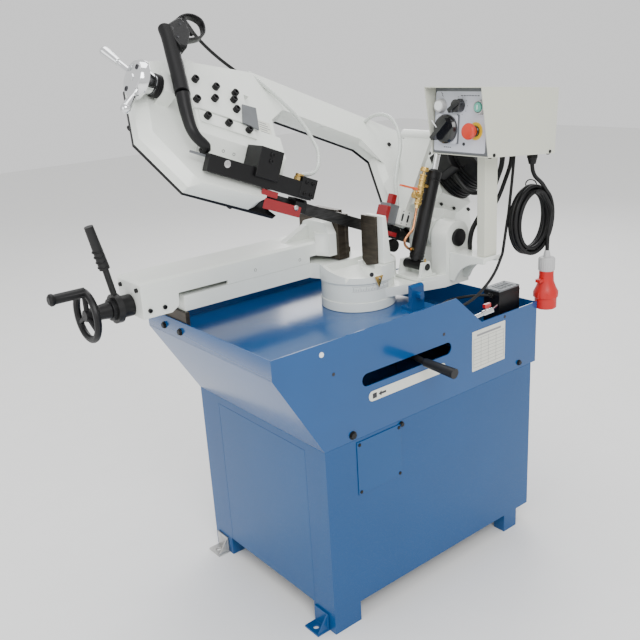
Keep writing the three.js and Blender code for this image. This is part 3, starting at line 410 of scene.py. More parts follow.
def finish_mesh(bm, obj_name, matrix, material, bevel, sharp):
    """Turns the mesh into an object; bevel is in millimetres, sharp in degrees."""
    bmesh.ops.recalc_face_normals(bm, faces=bm.faces)
    bmesh.ops.transform(bm, matrix=matrix, verts=bm.verts)
    mesh = bpy.data.meshes.new(obj_name)
    bm.to_mesh(mesh)
    bm.free()
    mesh.polygons.foreach_set("use_smooth", [True] * len(mesh.polygons))
    mesh.set_sharp_from_angle(angle=math.radians(sharp))
    mesh.materials.append(LOOKS[material])
    obj = bpy.data.objects.new(obj_name, mesh)
    bpy.context.scene.collection.objects.link(obj)
    if bevel:
        edge = obj.modifiers.new("edges", "BEVEL")
        edge.width = bevel * MM
        edge.segments = 2
        edge.angle_limit = math.radians(sharp)
        edge.harden_normals = False
    return obj


def piece(name, draw, matrix, body, material, bevel=0.0, sharp=35.0, stands_for=()):
    """A new piece on a body; draw(bm) fills the mesh."""
    bm = bmesh.new()
    draw(bm)
    obj = finish_mesh(bm, name, matrix, material, bevel, sharp)
    if stands_for:
        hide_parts(*stands_for)
    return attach(obj, body)


def refined(node_name, material, width):
    """A copy of a CAD node with rounded edges and smooth round surfaces, in its place."""
    source = NODES[node_name]
    bm = bmesh.new()
    bm.from_mesh(source.data)
    bmesh.ops.remove_doubles(bm, verts=bm.verts, dist=WELD_METRES)
    bmesh.ops.dissolve_limit(bm, angle_limit=FLAT_ANGLE, verts=bm.verts, edges=bm.edges)
    if width:
        edges = [e for e in bm.edges if e.is_manifold and e.calc_face_angle() > EDGE_ANGLE
                 and e.calc_length() > 2.2 * width * MM]
        bmesh.ops.bevel(bm, geom=edges, offset=width * MM, segments=2, profile=0.5, affect="EDGES",
                        clamp_overlap=True)
    obj = finish_mesh(bm, node_name + "_skin", Matrix.Identity(4), material, 0.0, 40.0)
    normals = obj.modifiers.new("flat_faces", "WEIGHTED_NORMAL")
    normals.keep_sharp = True
    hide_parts(node_name)
    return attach(obj, source["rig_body"])


# ---------- mains lead ----------
def lead_route():
    """Down from the gland, round the coil going back and forward again, then down into the plug."""
    x, y, z = LEAD["coil_x"], LEAD["y"], LEAD["coil_z"]
    drop = ((0, 0, 1014), (0, 0, 1000), (0, 0, 985), (2.5, 1, 970.6), (9.8, 2, 958), (21, 3, 948.6),
            (37, 4, 936))
    route = [(LEAD["x"] + dx, y - dy, top) for dx, dy, top in drop]
    lanes = [6, 16.8, 27.6, 33.0, 27.6, 16.8, 6.0]
    turns = LEAD["turns"]
    steps = 20
    first = math.radians(58)
    for i in range(turns * steps + 1):
        part = i / steps
        turn = min(int(part), turns - 1)
        angle = first - 2 * math.pi * part
        lane = lanes[turn] + (lanes[turn + 1] - lanes[turn]) * (part - turn)
        layer = min(1.0, max(0.0, part - 2.5))
        half_x, half_z = 71 - 11.5 * layer, 84 - 12 * layer
        route.append((x + half_x * math.cos(angle), lane, z + half_z * math.sin(angle)))
    px, py = LEAD["plug_x"], LEAD["plug_y"]
    route += [(767, 2, 868), (764, -1, 848), (757, -3, 826), (752, py, 806)]
    route += [(px, py, height) for height in (786, 768, 752, 744)]
    return route


def build_lead():
    bm = bmesh.new()
    path = curve_through(lead_route(), 6)
    sweep(bm, path, LEAD["radius"], 14)
    lead = finish_mesh(bm, "lead_flex", WORK, "rubber", 0.0, 60)
    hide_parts("mains_lead", "lead_coil")
    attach(lead, "arm")
    plug = build_plug()

    def tie(bm):
        round_strands = [(700, -2, 941), (706, 10, 947), (712, 30, 946), (715, 42, 934), (712, 30, 918),
                         (706, 8, 914), (700, -2, 924)]
        sweep(bm, curve_through(round_strands, 4), 1.6, 8)

    piece("coil_tie", tie, WORK, "arm", "plastic")


def build_plug():
    px, py = LEAD["plug_x"], LEAD["plug_y"]

    def body(bm):
        profile = [(26, 613), (28, 615), (28, 640), (31, 643), (31, 657), (26, 667), (19.5, 684),
                   (18.5, 700), (18.5, 713)]
        turned(bm, profile, (px, py, 0), (0, 0, 1), 40)
        block(bm, (px - 36, py - 7, 686), (px - 16, py + 7, 694))
        for k in range(8):
            angle = math.radians(45 * k)
            x, y = px + 29.5 * math.cos(angle), py + 29.5 * math.sin(angle)
            rod(bm, (x, y, 642), (x, y, 658), 2.4, sides=8)

    def collar(bm):
        def ribbed(r, angle):
            return r + (0.7 if r > 19 and math.cos(24 * angle) > 0 else 0)
        profile = [(19, 712), (20.3, 714), (20.3, 743), (17, 747), (9, 748), (8, 756), (5.8, 765)]
        turned(bm, profile, (px, py, 0), (0, 0, 1), 96, ribbed)

    shell = piece("plug_shell", body, WORK, "arm", "plug_red", stands_for=["mains_plug"])
    cap = piece("plug_collar", collar, WORK, "arm", "pale_grey")
    return [shell, cap]


# ---------- CAD nodes that keep their shape, with rounded edges ----------
REFINED = {
    "blue": {"cabinet": 1.2, "front_panel": 0.8, "access_cover": 0.7, "angle_stop": 1.2,
             "foot_front_near": 0.7},
    "tray": {"tray": 1.1},
    "galvanised": {"foot_front_far": 0.7},
    "cast": {"turntable_base": 1.5, "vice_bed": 1.6, "near_jaw": 2.0, "vice_beam": 3.0, "swivel_arm": 2.5,
             "cylinder_clevis": 1.5, "post_bracket": 1.5, "bow_frame": 1.6, "gearbox": 3.0,
             "tension_block": 2.0},
    "cream": {"control_post": 2.0, "control_box": 1.0},
    "black_sheet": {"wheel_cover": 1.0},
    "black": {"pivot_shaft": 1.0, "cylinder_barrel": 1.0, "guide_arm": 0.8, "guide_clamp": 1.2,
              "drive_motor": 2.0, "screw_housing": 1.5, "quick_lever": 0.8, "swivel_lock_lever": 0.8,
              "vice_handwheel": 0.6, "front_guide": 0.8, "rear_guide": 0.8},
    "plastic": {"mains_gland": 0.5, "trigger": 0.5, "coolant_pump": 1.5},
    "gloss_black": {"selector_knob": 0.8, "isolator_knob": 1.0},
    "grey": {"control_panel": 0.5},
    "green": {"start_button": 0.5},
    "mushroom": {"emergency_stop": 0.6},
    "red": {"tap_lever": 0.8},
    "orange": {"cock_lever": 0.7},
    "steel": {"swivel_spindle": 0.8},
    "jaw": {"support_plate": 0.8, "near_jaw_plate": 0.7, "far_jaw": 0.9, "moving_jaw": 0.9},
    "chrome": {"tap_body": 0.6, "tension_screw": 0.8, "cylinder_rod": 0.8},
    "brass": {"screw_nut": 0.6, "flow_valve": 0.5, "valve_knob": 0.5},
    "iron": {"idler_wheel": 0.0, "drive_wheel": 0.0},
    "band": {"band_blade": 0.0},
    "lens": {"pilot_lamp": 0.5},
}


def build_skins():
    for material, group in REFINED.items():
        for node_name, width in group.items():
            refined(node_name, material, width)


# ---------- cabinet details ----------
def build_cabinet_details():
    def tray_bolts(bm):
        for x, z, radius in ((79, 484, 8), (225, 460, 5.5), (649, 486, 6)):
            hex_bolt(bm, (x, 0, z), (0, -1, 0), radius, 6)
        for y in (355, 429):
            hex_bolt(bm, (-120, y, 691), (-1, 0, 0), 7, 6)

    def plugged_holes(bm):
        for x, z in ((35, 641), (370, 639), (590, 626)):
            turned(bm, [(4.2, -0.4), (4.2, 0.3), (3.2, 0.5)], (x, 0, z), (0, -1, 0), 20)

    def cover_screws(bm):
        for x in (95, 215):
            for z in (338, 455):
                turned(bm, [(4.2, 0), (4, 1.2), (2.6, 2.2)], (x, -2.5, z), (0, -1, 0), 20)

    def white_caps(bm):
        turned(bm, [(6, 0), (5.6, 1.4), (3.6, 2.2)], (6, 0, 693), (0, -1, 0), 24)
        turned(bm, [(5, 0), (4.6, 1.4), (3, 2)], (-117, 300, 690), (1, 0, 0), 24)

    piece("tray_bolts", tray_bolts, WORK, "base", "black")
    piece("plugged_holes", plugged_holes, WORK, "base", "dark_ink_and_hole_shade")
    piece("cover_screws", cover_screws, WORK, "base", "black")
    piece("white_caps", white_caps, WORK, "base", "lens")


def build_labels():
    def slot_label(bm):
        block(bm, (130, -0.7, 545), (374, 0.1, 569), 11.5)

    def rating_label(bm):
        block(bm, (468, -0.7, 514), (591, 0.1, 617), 2)

    def label_marks(bm):
        """A square and an arrow that points to it."""
        arrow = [(158, 557), (167, 551), (167, 554.5), (181, 554.5), (181, 559.5), (167, 559.5),
                 (167, 563)]
        prism(bm, [(141, 551), (153, 551), (153, 563), (141, 563)], -1.0, -0.6, across=1)
        prism(bm, arrow, -1.0, -0.6, across=1)

    def table_lines(bm):
        left, right, top = 473, 586, 596
        for row in range(9):
            z = top - row * 9.2
            block(bm, (left, -0.95, z), (right, -0.65, z + 0.7))
        for x in (left, 500, 527, 556, right - 0.7):
            block(bm, (x, -0.95, top - 73.6), (x + 0.7, -0.65, top + 0.7))
        block(bm, (485, -0.95, 602), (574, -0.65, 607))

    piece("slot_label", slot_label, WORK, "base", "label")
    piece("rating_label", rating_label, WORK, "base", "label")
    piece("slot_label_marks", label_marks, WORK, "base", "dark_ink_and_hole_shade")
    piece("rating_label_lines", table_lines, WORK, "base", "grey_ink")


def build_pump_details():
    def lid(bm):
        block(bm, (599.3, 25.3, 681), (680.7, 76.7, 685), 4)
        for x in (606, 674):
            for y in (31, 71):
                turned(bm, [(2.8, 0), (2.5, 1.4)], (x, y, 685), (0, 0, 1), 14)
        for k in range(5):
            block(bm, (618 + 11 * k, 34, 685), (623 + 11 * k, 66, 686.2), 1)

    def gland(bm):
        turned(bm, [(8, 0), (8, 5), (6.5, 6), (6.5, 12), (5, 14)], (600, 50, 668), (-1, 0, 0.35), 6)

    piece("pump_lid", lid, WORK, "base", "grey", bevel=0.5)
    piece("pump_gland", gland, WORK, "base", "plastic")


# ---------- turntable scale and vice ----------
def build_vice_details():
    def ticks(bm):
        for k in range(-12, 13):
            angle = math.radians(-108 + 2.5 * k)
            length = 9 if k % 4 == 0 else 5
            turn = Matrix.Rotation(angle, 4, "Z")
            centre = Vector((RING["x"], RING["y"], 0))
            corners = [(RING["radius"] - 0.4, -0.35), (RING["radius"] + 0.25, -0.35),
                       (RING["radius"] + 0.25, 0.35), (RING["radius"] - 0.4, 0.35)]
            skin(bm, [[centre + turn @ Vector((x, y, z)) for x, y in corners] for z in (722, 722 + length)])

    def scale_line(bm):
        for z in (720.5, 733):
            rings = []
            for k in range(33):
                angle = math.radians(-140 + 2 * k)
                r = RING["radius"]
                section = ((r - 0.4, z), (r + 0.2, z), (r + 0.2, z + 0.5), (r - 0.4, z + 0.5))
                rings.append([(RING["x"] + q * math.cos(angle), RING["y"] + q * math.sin(angle), h)
                              for q, h in section])
            skin(bm, rings)

    def pointer(bm):
        prism(bm, [(318, 757), (344, 757), (331, 729)], 172.3, 175.2, across=1)

    def pointer_screw(bm):
        turned(bm, [(3, 0), (3, 1.5), (1.6, 2.4)], (331, 172.3, 751), (0, -1, 0), 16)

    # A dark cup in the bed's hole: painted shade in the hole.
    def bed_hole_shade(bm):
        profile = [(5.5, -1), (5.5, 0.6), (4.2, 0.6), (4.2, -0.6)]
        turned(bm, profile, (315, 181.6, 762), (-0.34, -0.94, 0), 22)

    # Dark cups in the beam's holes: painted shade in the holes.
    def beam_hole_shades(bm):
        for x, z in ((86, 796), (219, 793)):
            turned(bm, [(3.6, -0.5), (3.6, 0.25), (2.8, 0.25), (2.8, -0.4)], (x, 337, z), (0, -1, 0), 18)

    def beam_screws(bm):
        for x in (-196, -160):
            socket_screw(bm, (x, 337, 765), (0, -1, 0), 5, 5)
        for y in (352, 430):
            socket_screw(bm, (-213, y, 812), (-1, 0, 0), 5, 5)

    def grip_rings(bm):
        axis = (-13, 0, 56)
        for k in range(4):
            at = Vector((-264, 391, 868)) + Vector(axis).normalized() * 12 * k
            turned(bm, [(11.6, 0), (12.6, 1.2), (12.6, 2.8), (11.6, 4)], at, axis, 24)

    def crank_end(bm):
        turned(bm, [(11, 0), (13.4, 4), (13.4, 9), (9, 13)], (-382, 387, 825), (-1, 0, 0), 28)

    piece("scale_ticks", ticks, WORK, "arm", "grey_ink")
    piece("scale_lines", scale_line, WORK, "arm", "grey_ink")
    piece("scale_pointer", pointer, WORK, "base", "brass", bevel=0.3)
    piece("pointer_screw", pointer_screw, WORK, "base", "bright_screw")
    piece("bed_hole_shade", bed_hole_shade, WORK, "base", "dark_ink_and_hole_shade")
    piece("beam_hole_shades", beam_hole_shades, WORK, "vice_slide", "dark_ink_and_hole_shade")
    piece("beam_screws", beam_screws, WORK, "vice_slide", "black")
    piece("quick_lever_rings", grip_rings, WORK, "quick_lever", "black")
    piece("crank_end", crank_end, WORK, "handwheel", "plastic")


# ---------- control box ----------
def build_control_details():
    foil_x = 1.0

    def foil(bm):
        block(bm, (foil_x - 0.5, -28, 8), (foil_x, 125, 141), 5)

    def foil_marks(bm):
        """Plain dashes and dots where a panel carries its symbols."""
        x0, x1 = foil_x - 0.75, foil_x - 0.45
        bolt = [(101, 128), (107, 133), (105, 134), (110, 139), (104, 136), (106, 135)]
        for k in range(7):
            block(bm, (x0, -4 + 8 * k, 131), (x1, 1 + 8 * k, 133))
        prism(bm, bolt, x0, x1, across=0)
        for k in range(4):
            block(bm, (x0, 72 + 6 * k, 16), (x1, 76 + 6 * k, 18))
        for k in range(9):
            angle = math.radians(40 + 35 * k)
            y, z = 51 + 22 * math.cos(angle), 110 + 20 * math.sin(angle)
            block(bm, (x0, y - 0.8, z - 0.8), (x1, y + 0.8, z + 0.8))
        turned(bm, [(4, 0), (3.6, 1.6)], (foil_x, 34, 26), (-1, 0, 0), 20)

    def isolator_plate(bm):
        block(bm, (-6.6, 49.4, 25.4), (-6.05, 114.6, 90.6), 6)
        for y in (55, 109):
            for z in (31, 85):
                turned(bm, [(2.6, 0), (2.3, 1.2), (1.2, 1.5)], (-6.6, y, z), (-1, 0, 0), 14)

    def isolator_line(bm):
        turn = Matrix.Translation((0, 82, 58)) @ Matrix.Rotation(math.radians(-45), 4, "X")
        rings = []
        for x in (-36.6, -35.6):
            rings.append([turn @ Vector((x, y, z)) for y, z in ((-1, 6), (1, 6), (1, 27), (-1, 27))])
        skin(bm, rings)

    def stop_ring(bm):
        turned(bm, [(19.5, 0), (19.5, 1.6), (18.4, 2.4), (10, 2.4)], (foil_x, 1, 56), (-1, 0, 0), 40)

    def stop_collar(bm):
        turned(bm, [(12.5, 0), (12.5, 4.4), (11.5, 5.4)], (foil_x - 2.4, 1, 56), (-1, 0, 0), 32)

    def bezels(bm):
        for y, z in ((106, 109), (-12, 108)):
            turned(bm, [(16, 0), (16, 3), (15.2, 8), (14.2, 12.4), (12.4, 13), (12.4, 10)],
                   (foil_x, y, z), (-1, 0, 0), 36)

    def start_mark(bm):
        block(bm, (-15.3, -13, 103), (-14.4, -11, 113))

    def box_screws(bm):
        for x in (14, 226):
            for y in (-32, 122):
                turned(bm, [(4.6, 0), (4.4, 2.2), (2.6, 3.4)], (x, y, 0.4), (0, 0, -1), 20)
        for x in (18, 222):
            turned(bm, [(4.2, 0), (4.0, 1.8), (2.4, 2.8)], (x, -40, 5), (0, -1, 0), 20)

    def vents(bm):
        for z in (30, 75, 120):
            block(bm, (238, -10, z), (239.4, 100, z + 3))

    piece("panel_foil", foil, PANEL, "arm", "foil")
    piece("panel_marks", foil_marks, PANEL, "arm", "dark_ink_and_hole_shade")
    piece("isolator_plate", isolator_plate, PANEL, "arm", "foil")
    piece("isolator_line", isolator_line, PANEL, "isolator", "lens")
    piece("stop_ring", stop_ring, PANEL, "arm", "yellow")
    piece("stop_collar", stop_collar, PANEL, "arm", "gloss_black")
    piece("button_bezels", bezels, PANEL, "arm", "pale_grey")
    piece("start_mark", start_mark, PANEL, "start", "lens")
    piece("box_screws", box_screws, PANEL, "arm", "black")
    piece("box_vents", vents, PANEL, "arm", "cream")


# ---------- hydraulic cylinder ----------
def build_ram_details():
    def bands(bm):
        for z, radius in ((22, 19.6), (30, 19.2), (214, 20.6), (233, 20.6)):
            profile = [(radius - 1, 0), (radius, 0.8), (radius, 3), (radius - 1, 3.8)]
            turned(bm, profile, (0, 0, z), (0, 0, 1), 40)

    def wiper(bm):
        turned(bm, [(14, 0), (13, 3), (9.4, 6)], (0, 0, 236), (0, 0, 1), 32)

    def valve_rings(bm):
        for z in (150, 160, 178, 190, 206, 218):
            sides = 6 if z < 180 else 28
            turned(bm, [(9.2, 0), (9.8, 0.8), (9.8, 3.2), (9.2, 4)], (*VALVE_AXIS, z), (0, 0, 1), sides)

    def pipe(bm):
        bends = [(*VALVE_AXIS, 147), (*VALVE_AXIS, 130), (-40, -6, 104), (-43, -8, 84), (-54, -9, 70),
                 (-62, -8, 56), (-56, -6, 44), (-42, -3, 38), (-30, 0, 36), (-17, 0, 36)]
        sweep(bm, curve_through(bends, 4), 3.2, 14)

    def fittings(bm):
        turned(bm, [(5.5, 0), (5.5, 9)], (*VALVE_AXIS, 138), (0, 0, 1), 6)
        turned(bm, [(5.5, 0), (5.5, 9)], (-28, 0, 36), (1, 0, 0), 6)

    def clips(bm):
        for side in (-1, 1):
            turned(bm, [(9, 0), (9, 1.6)], (0, side * 43, 0), (0, side, 0), 24)

    def grease(bm):
        turned(bm, [(3, 0), (3, 4), (1.8, 5), (2.4, 7), (1.6, 8)], (0, -36, 12), (0, 0, 1), 14)

    piece("barrel_bands", bands, RAM, "cylinder", "black")
    piece("rod_wiper", wiper, RAM, "cylinder", "plastic")
    piece("valve_rings", valve_rings, RAM, "cylinder", "brass")
    piece("feed_pipe", pipe, RAM, "cylinder", "copper")
    piece("pipe_fittings", fittings, RAM, "cylinder", "brass")
    piece("clevis_clips", clips, RAM, "arm", "black")
    piece("grease_nipple", grease, WORK @ Matrix.Translation(RAM_FOOT), "arm", "brass")


# ---------- bow ----------
def build_tension_details():
    top = 58
    screws = [(-117, 226), (-63, 226), (-10, 229), (-125, 166), (-74, 188), (-19, 206), (-18, 178)]

    def slide_screws(bm):
        for x, y in screws:
            socket_screw(bm, (x, y, top), (0, 0, 1), 8, 11)

    def gib_screws(bm):
        for x in (-104, -49, 6):
            socket_screw(bm, (x, 129, 56), (0, 0, 1), 8, 11)

    def gib(bm):
        block(bm, (-121, 113, 51.5), (28, 145, 56), 1.5)

    def grey_plate(bm):
        prism(bm, [(-8, 144), (36, 138), (44, 206), (4, 202)], 59, 62)

    def springs(bm):
        for k in range(4):
            profile = [(23.5, 0), (24.5, 0.8), (24.5, 2.4), (23.5, 3.2)]
            turned(bm, profile, (-223 + 3.7 * k, *TENSION_AXIS), (1, 0, 0), 36)

    def hub(bm):
        turned(bm, [(30, 0), (36, 2), (41, 12), (41, 19), (38.5, 21)], (-271, *TENSION_AXIS), (1, 0, 0), 64)
        turned(bm, [(8, 0), (8, 3)], (-273, *TENSION_AXIS), (1, 0, 0), 6)

    # Dark cups in the hub disc's holes: painted shade in the holes.
    def hub_hole_shades(bm):
        for angle in (75, 250):
            y = TENSION_AXIS[0] + 26 * math.cos(math.radians(angle))
            z = TENSION_AXIS[1] + 26 * math.sin(math.radians(angle))
            turned(bm, [(5.5, 0), (5.5, 1.6), (4, 1.6), (4, 0.6)], (-270.6, y, z), (-1, 0, 0), 22)

    # Dark cups in the pad's holes: painted shade in the holes.
    def pad_hole_shades(bm):
        for x in (-62, -34):
            turned(bm, [(3.4, -1), (3.4, 0.4), (2.6, 0.4), (2.6, -0.6)], (x, 289.6, 862), (0, -1, 0), 18)

    def plaque(bm):
        block(bm, (74, 166, 23.8), (112, 214, 25.2), 1)

    def plaque_marks(bm):
        for k in range(6):
            block(bm, (78, 171 + 7 * k, 25.2), (108 - 4 * (k % 3), 173 + 7 * k, 25.5))

    piece("slide_screws", slide_screws, PLANE, "tension_slide", "black")
    piece("gib_strip", gib, PLANE, "bow", "cast", bevel=0.5)
    piece("gib_screws", gib_screws, PLANE, "bow", "black")
    piece("slide_stop_plate", grey_plate, PLANE, "tension_slide", "grey", bevel=0.4)
    piece("disc_springs", springs, PLANE, "tension_screw", "black")
    piece("hub_disc", hub, PLANE, "tension_screw", "chrome")
    piece("hub_hole_shades", hub_hole_shades, PLANE, "tension_screw", "dark_ink_and_hole_shade")
    piece("pad_hole_shades", pad_hole_shades, BOW, "bow", "dark_ink_and_hole_shade")
    piece("casting_plaque", plaque, PLANE, "bow", "label")
    piece("plaque_marks", plaque_marks, PLANE, "bow", "grey_ink")


def build_guide_details():
    def guards(bm):
        block(bm, (38, 240, 764), (142, 243, 788), 2)
        block(bm, (30, 246, 792), (74, 249, 806), 1)

    def guard_screw(bm):
        turned(bm, [(6, 0), (6, 3), (3, 5)], (126, 240, 784), (0, -1, 0), 22)

    def arm_screw(bm):
        turned(bm, [(8, 0), (8, 0.2), (7.9, 0.25)], (-76, 240, 834), (0, -1, 0), 26)

    def arm_screws(bm):
        for x, z in ((140, 846), (158, 846), (140, 820), (158, 820)):
            socket_screw(bm, (x, 238, z), (0, -1, 0), 4, 3)
        for z in (866, 880):
            socket_screw(bm, (26, 232, z), (0, -1, 0), 5, 3)

    def fitting(bm):
        turned(bm, [(8, 0), (8, 8), (6, 9), (6, 15)], (117, 249, 845), (0, 0, 1), 6)
        turned(bm, [(5, 0), (5, 14), (4, 16)], (117, 249, 856), (1, 0, 0.1), 20)

    def wear_strip(bm):
        block(bm, (-160, 256.5, 836), (-100, 259, 841))

    def rear_block(bm):
        block(bm, (452, 238, 812), (500, 258, 852), 3)

    # Dark pads in the rear block's slots and screw holes: painted shade in them.
    def rear_slot_shades(bm):
        for x in (464, 484):
            block(bm, (x - 3.2, 237.6, 822), (x + 3.2, 238.4, 842), 3)
            for z in (817, 847):
                turned(bm, [(1.8, 0), (1.6, 0.4)], (x, 238, z), (0, -1, 0), 12)

    def rear_guard(bm):
        block(bm, (408, 242, 806), (420, 276, 850), 2)
        block(bm, (424, 240, 779), (460, 244, 790), 1)
        block(bm, (420, 246, 858), (436, 262, 882), 2)

    def rear_grey(bm):
        block(bm, (420, 246, 808), (453, 282, 858), 3)

    def brush(bm):
        def bristly(r, angle):
            return r + (0.9 if r > 14 and math.cos(30 * angle) > 0 else 0)
        profile = [(8, 0), (15, 1), (15.5, 4), (15.5, 14), (15, 17), (8, 18)]
        turned(bm, profile, (473, 248, 758), (0, 1, 0), 90, bristly)
        rod(bm, (473, 266, 758), (473, 272, 758), 4)

    piece("blade_guards", guards, BOW, "guide", "guard_red", bevel=0.4)
    piece("guard_screw", guard_screw, BOW, "guide", "bright_screw")
    piece("arm_screw", arm_screw, BOW, "guide", "bright_screw")
    piece("arm_screws", arm_screws, BOW, "guide", "black")
    piece("hose_fitting", fitting, BOW, "guide", "brass")
    piece("wear_strip", wear_strip, BOW, "bow", "grey")
    piece("rear_block", rear_block, BOW, "bow", "cast", bevel=0.8)
    piece("rear_slot_shades", rear_slot_shades, BOW, "bow", "dark_ink_and_hole_shade")
    piece("rear_guards", rear_guard, BOW, "bow", "guard_red", bevel=0.4)
    piece("rear_spacer", rear_grey, BOW, "bow", "grey", bevel=0.6)
    piece("chip_brush", brush, BOW, "bow", "rubber")


def build_drive_details():
    rear, radius = WHEEL["rear"], WHEEL["radius"]

    def fins(bm):
        for k in range(9):
            at = (rear, radius, 106 + 8.6 * k)
            turned(bm, [(63, 0), (67.5, 0.8), (67.5, 2.4), (63, 3.2)], at, (0, 0, 1), 48)

    def cowl(bm):
        turned(bm, [(61, 0), (66, 2), (66, 24), (60, 30), (20, 31)], (rear, radius, 188), (0, 0, 1), 56)

    def cowl_slots(bm):
        for k in range(24):
            angle = 2 * math.pi * k / 24
            turn = Matrix.Translation((rear, radius, 218.6)) @ Matrix.Rotation(angle, 4, "Z")
            corners = ((28, -1.6), (52, -1.6), (52, 1.6), (28, 1.6))
            skin(bm, [[turn @ Vector((x, y, z)) for x, y in corners] for z in (0, 0.9)])

    def flange_screws(bm):
        for k in range(8):
            angle = math.radians(22.5 + 45 * k)
            at = (rear + 71 * math.cos(angle), radius + 71 * math.sin(angle), 62)
            socket_screw(bm, at, (0, 0, 1), 5, 5)

    def casting_screws(bm):
        for x, y in ((560, 300), (745, 330), (838, 150), (770, 30)):
            socket_screw(bm, (x, y, 24), (0, 0, 1), 6, 5)

    def cover_knobs(bm):
        for x, y in ((-20, -20), (-238, 120), (790, 20), (838, 240)):
            rod(bm, (x, y, -34), (x, y, -27), 9, 7)

    piece("motor_fins", fins, PLANE, "bow", "black")
    piece("motor_cowl", cowl, PLANE, "bow", "plastic")
    piece("motor_cowl_slots", cowl_slots, PLANE, "bow", "grey")
    piece("gearbox_screws", flange_screws, PLANE, "bow", "black")
    piece("casting_screws", casting_screws, PLANE, "bow", "black")
    piece("cover_knobs", cover_knobs, PLANE, "cover", "plastic")


# ---------- pistol grip ----------
def build_grip():
    stem = [(-121, 43, 38), (-122, 43, 54), (-148, 53, 62), (-163, 70, 68), (-173, 107, 76),
            (-179, 140, 84)]
    hand = [(-179, 140, 84), (-185, 184, 91), (-192, 224, 98), (-199, 262, 105), (-205, 284, 108)]
    loop = [(-178, 322, 108), (-161, 343, 108), (-143, 357, 108), (-124, 363, 108), (-108, 359, 108),
            (-103, 345, 108), (-107, 321, 108), (-122, 300, 108), (-143, 285, 108), (-164, 273, 108)]

    def draw_stem(bm):
        path = curve_through(stem, 5)
        sweep(bm, path, 0, 20, lambda i: 10 + 5 * i / len(path))

    def draw_hand(bm):
        """An oval grip with finger grooves on the side of the trigger."""
        path = curve_through(hand, 3)
        across, deep = Vector((0.94, -0.1, -0.3)).normalized(), Vector((0.3, 0.1, 0.95)).normalized()
        rings = []
        for i, centre in enumerate(path):
            part = i / (len(path) - 1)
            groove = 2.6 * max(0.0, math.sin(part * 8 * math.pi)) if part > 0.12 else 0.0
            ring = []
            for k in range(28):
                angle = 2 * math.pi * k / 28
                reach = 17.5 + 3 * part - (groove if math.cos(angle) > 0.2 else 0)
                ring.append(centre + across * reach * math.cos(angle) + deep * 15.5 * math.sin(angle))
            rings.append(ring)
        skin(bm, rings)

    def draw_head(bm):
        outline = [(-186, 240), (-170, 240), (-158, 272), (-152, 292), (-158, 316), (-172, 328),
                   (-180, 322), (-214, 284), (-208, 270)]
        prism(bm, outline, 95, 121)

    def draw_loop(bm):
        """The flat guard round the trigger: one section carried along the loop."""
        section = ((-2.6, -7), (-1.4, -9), (1.4, -9), (2.6, -7), (2.6, 7), (1.4, 9), (-1.4, 9), (-2.6, 7))
        path = curve_through(loop, 5)
        rings = []
        for before, here, after in zip(path[:1] + path, path, path[1:] + path[-1:]):
            out = (after - before).cross(Vector((0, 0, 1))).normalized()
            rings.append([here + out * a + Vector((0, 0, b)) for a, b in section])
        skin(bm, rings)

    def draw_screws(bm):
        for at in ((-190, 262, 120.6), (-176, 306, 120.6)):
            turned(bm, [(3.4, 0), (3, 1.4), (1.6, 0.6)], at, (0, 0, 1), 16)

    piece("grip_stem", draw_stem, PLANE, "bow", "plastic", stands_for=["pistol_grip"])
    piece("grip_hand", draw_hand, PLANE, "bow", "plastic")
    piece("grip_head", draw_head, PLANE, "bow", "plastic", bevel=3.0)
    piece("grip_loop", draw_loop, PLANE, "bow", "plastic")
    piece("grip_screws", draw_screws, PLANE, "bow", "dark_ink_and_hole_shade")


# ---------- hoses and cables ----------
def hose(name, points, matrix, radius, material, body=None, between=None):
    """A round hose through the points, on one body, or left on no body with its transform baked in when
    between is given.
    """
    bm = bmesh.new()
    path = curve_through(points, 6)
    sweep(bm, path, radius, 14)
    obj = finish_mesh(bm, name, matrix, material, 0.0, 60)
    if between:
        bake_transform(obj)
    else:
        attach(obj, body)


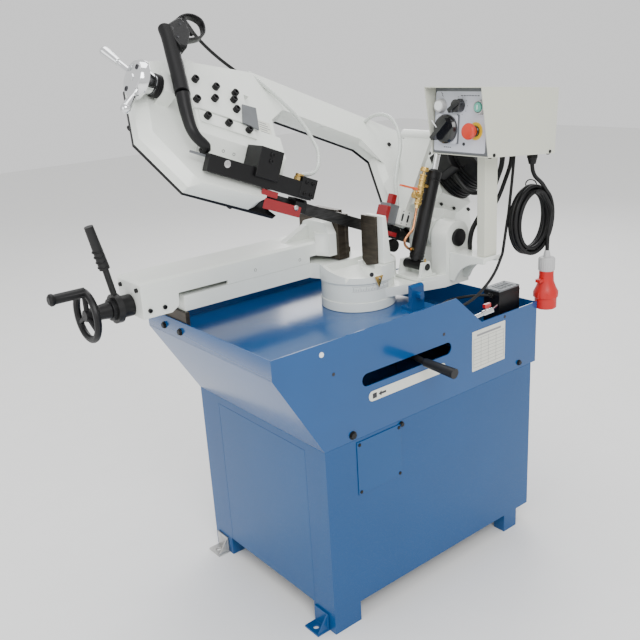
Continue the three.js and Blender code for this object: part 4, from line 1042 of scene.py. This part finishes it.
def build_hoses():
    hose("coolant_hose_front",
         [(96, 510, 1086), (112, 492, 1073), (137, 460, 1053), (160, 430, 1032), (181, 400, 1010),
          (198, 368, 983), (207, 340, 956), (209, 318, 937), (205, 300, 916), (195, 282, 894),
          (176, 266, 876), (154, 257, 866), (134, 251, 861), (126, 249, 858)],
         BOW, 4.6, "hose", between=("bow", "guide"))
    hose("coolant_hose_rear",
         [(486, 486, 1074), (489, 478, 1086), (495, 462, 1096), (503, 438, 1100), (508, 412, 1092),
          (509, 388, 1074), (506, 366, 1051), (500, 346, 1024), (490, 330, 999), (478, 316, 972),
          (466, 300, 944), (458, 286, 915), (456, 272, 890), (456, 262, 868), (456, 258, 856)],
         BOW, 5.0, "hose", body="bow")
    hose("switch_cable",
         [(-172, 320, 118), (-150, 352, 104), (-118, 372, 80), (-76, 384, 52), (-30, 389, 30),
          (20, 391, 12), (70, 388, 0), (110, 384, -8), (160, 380, -10)],
         PLANE, 4.0, "rubber", body="bow")
    hose("pump_cable",
         [(660, 36, 1012), (660, 37, 996), (659, 38, 975), (658, 40, 945), (653, 40, 910),
          (648, 40, 875), (641, 40, 843), (632, 38, 812), (620, 32, 792), (604, 22, 782),
          (586, 12, 776), (566, 9, 752), (545, 9, 731), (520, 11, 712), (496, 14, 697), (470, 22, 684),
          (450, 38, 676), (444, 60, 673), (456, 82, 672.5), (482, 94, 672.5), (512, 92, 673),
          (544, 80, 673.5), (572, 64, 673), (592, 50, 671)],
         WORK, 3.6, "rubber", between=("base", "arm"))
    hose("motor_cable",
         [(672, 80, 1013), (672, 81, 996), (670, 84, 975), (665, 92, 952), (656, 106, 932),
          (648, 126, 918), (645, 150, 912), (648, 176, 916), (653, 198, 928), (656, 214, 940),
          (657, 224, 950)],
         WORK, 6.0, "rubber", between=("arm", "bow"))
    drop = [(672, 60, 1013), (670, 62, 985), (660, 68, 950), (640, 74, 905),
            (612, 80, 868), (590, 84, 838), (588, 90, 806), (600, 100, 786)]
    for k, (dx, dy) in enumerate(((14, 4), (-16, 8))):
        hose(f"box_cable_{k}",
             [(x + dx, y + dy, z) for x, y, z in drop], WORK, 5.0 + k, "rubber", body="arm")


add_camera()
build_lead()
build_hoses()
add_surroundings()
build_skins()
build_cabinet_details()
build_labels()
build_pump_details()
build_vice_details()
build_control_details()
build_ram_details()
build_tension_details()
build_guide_details()
build_drive_details()
build_grip()
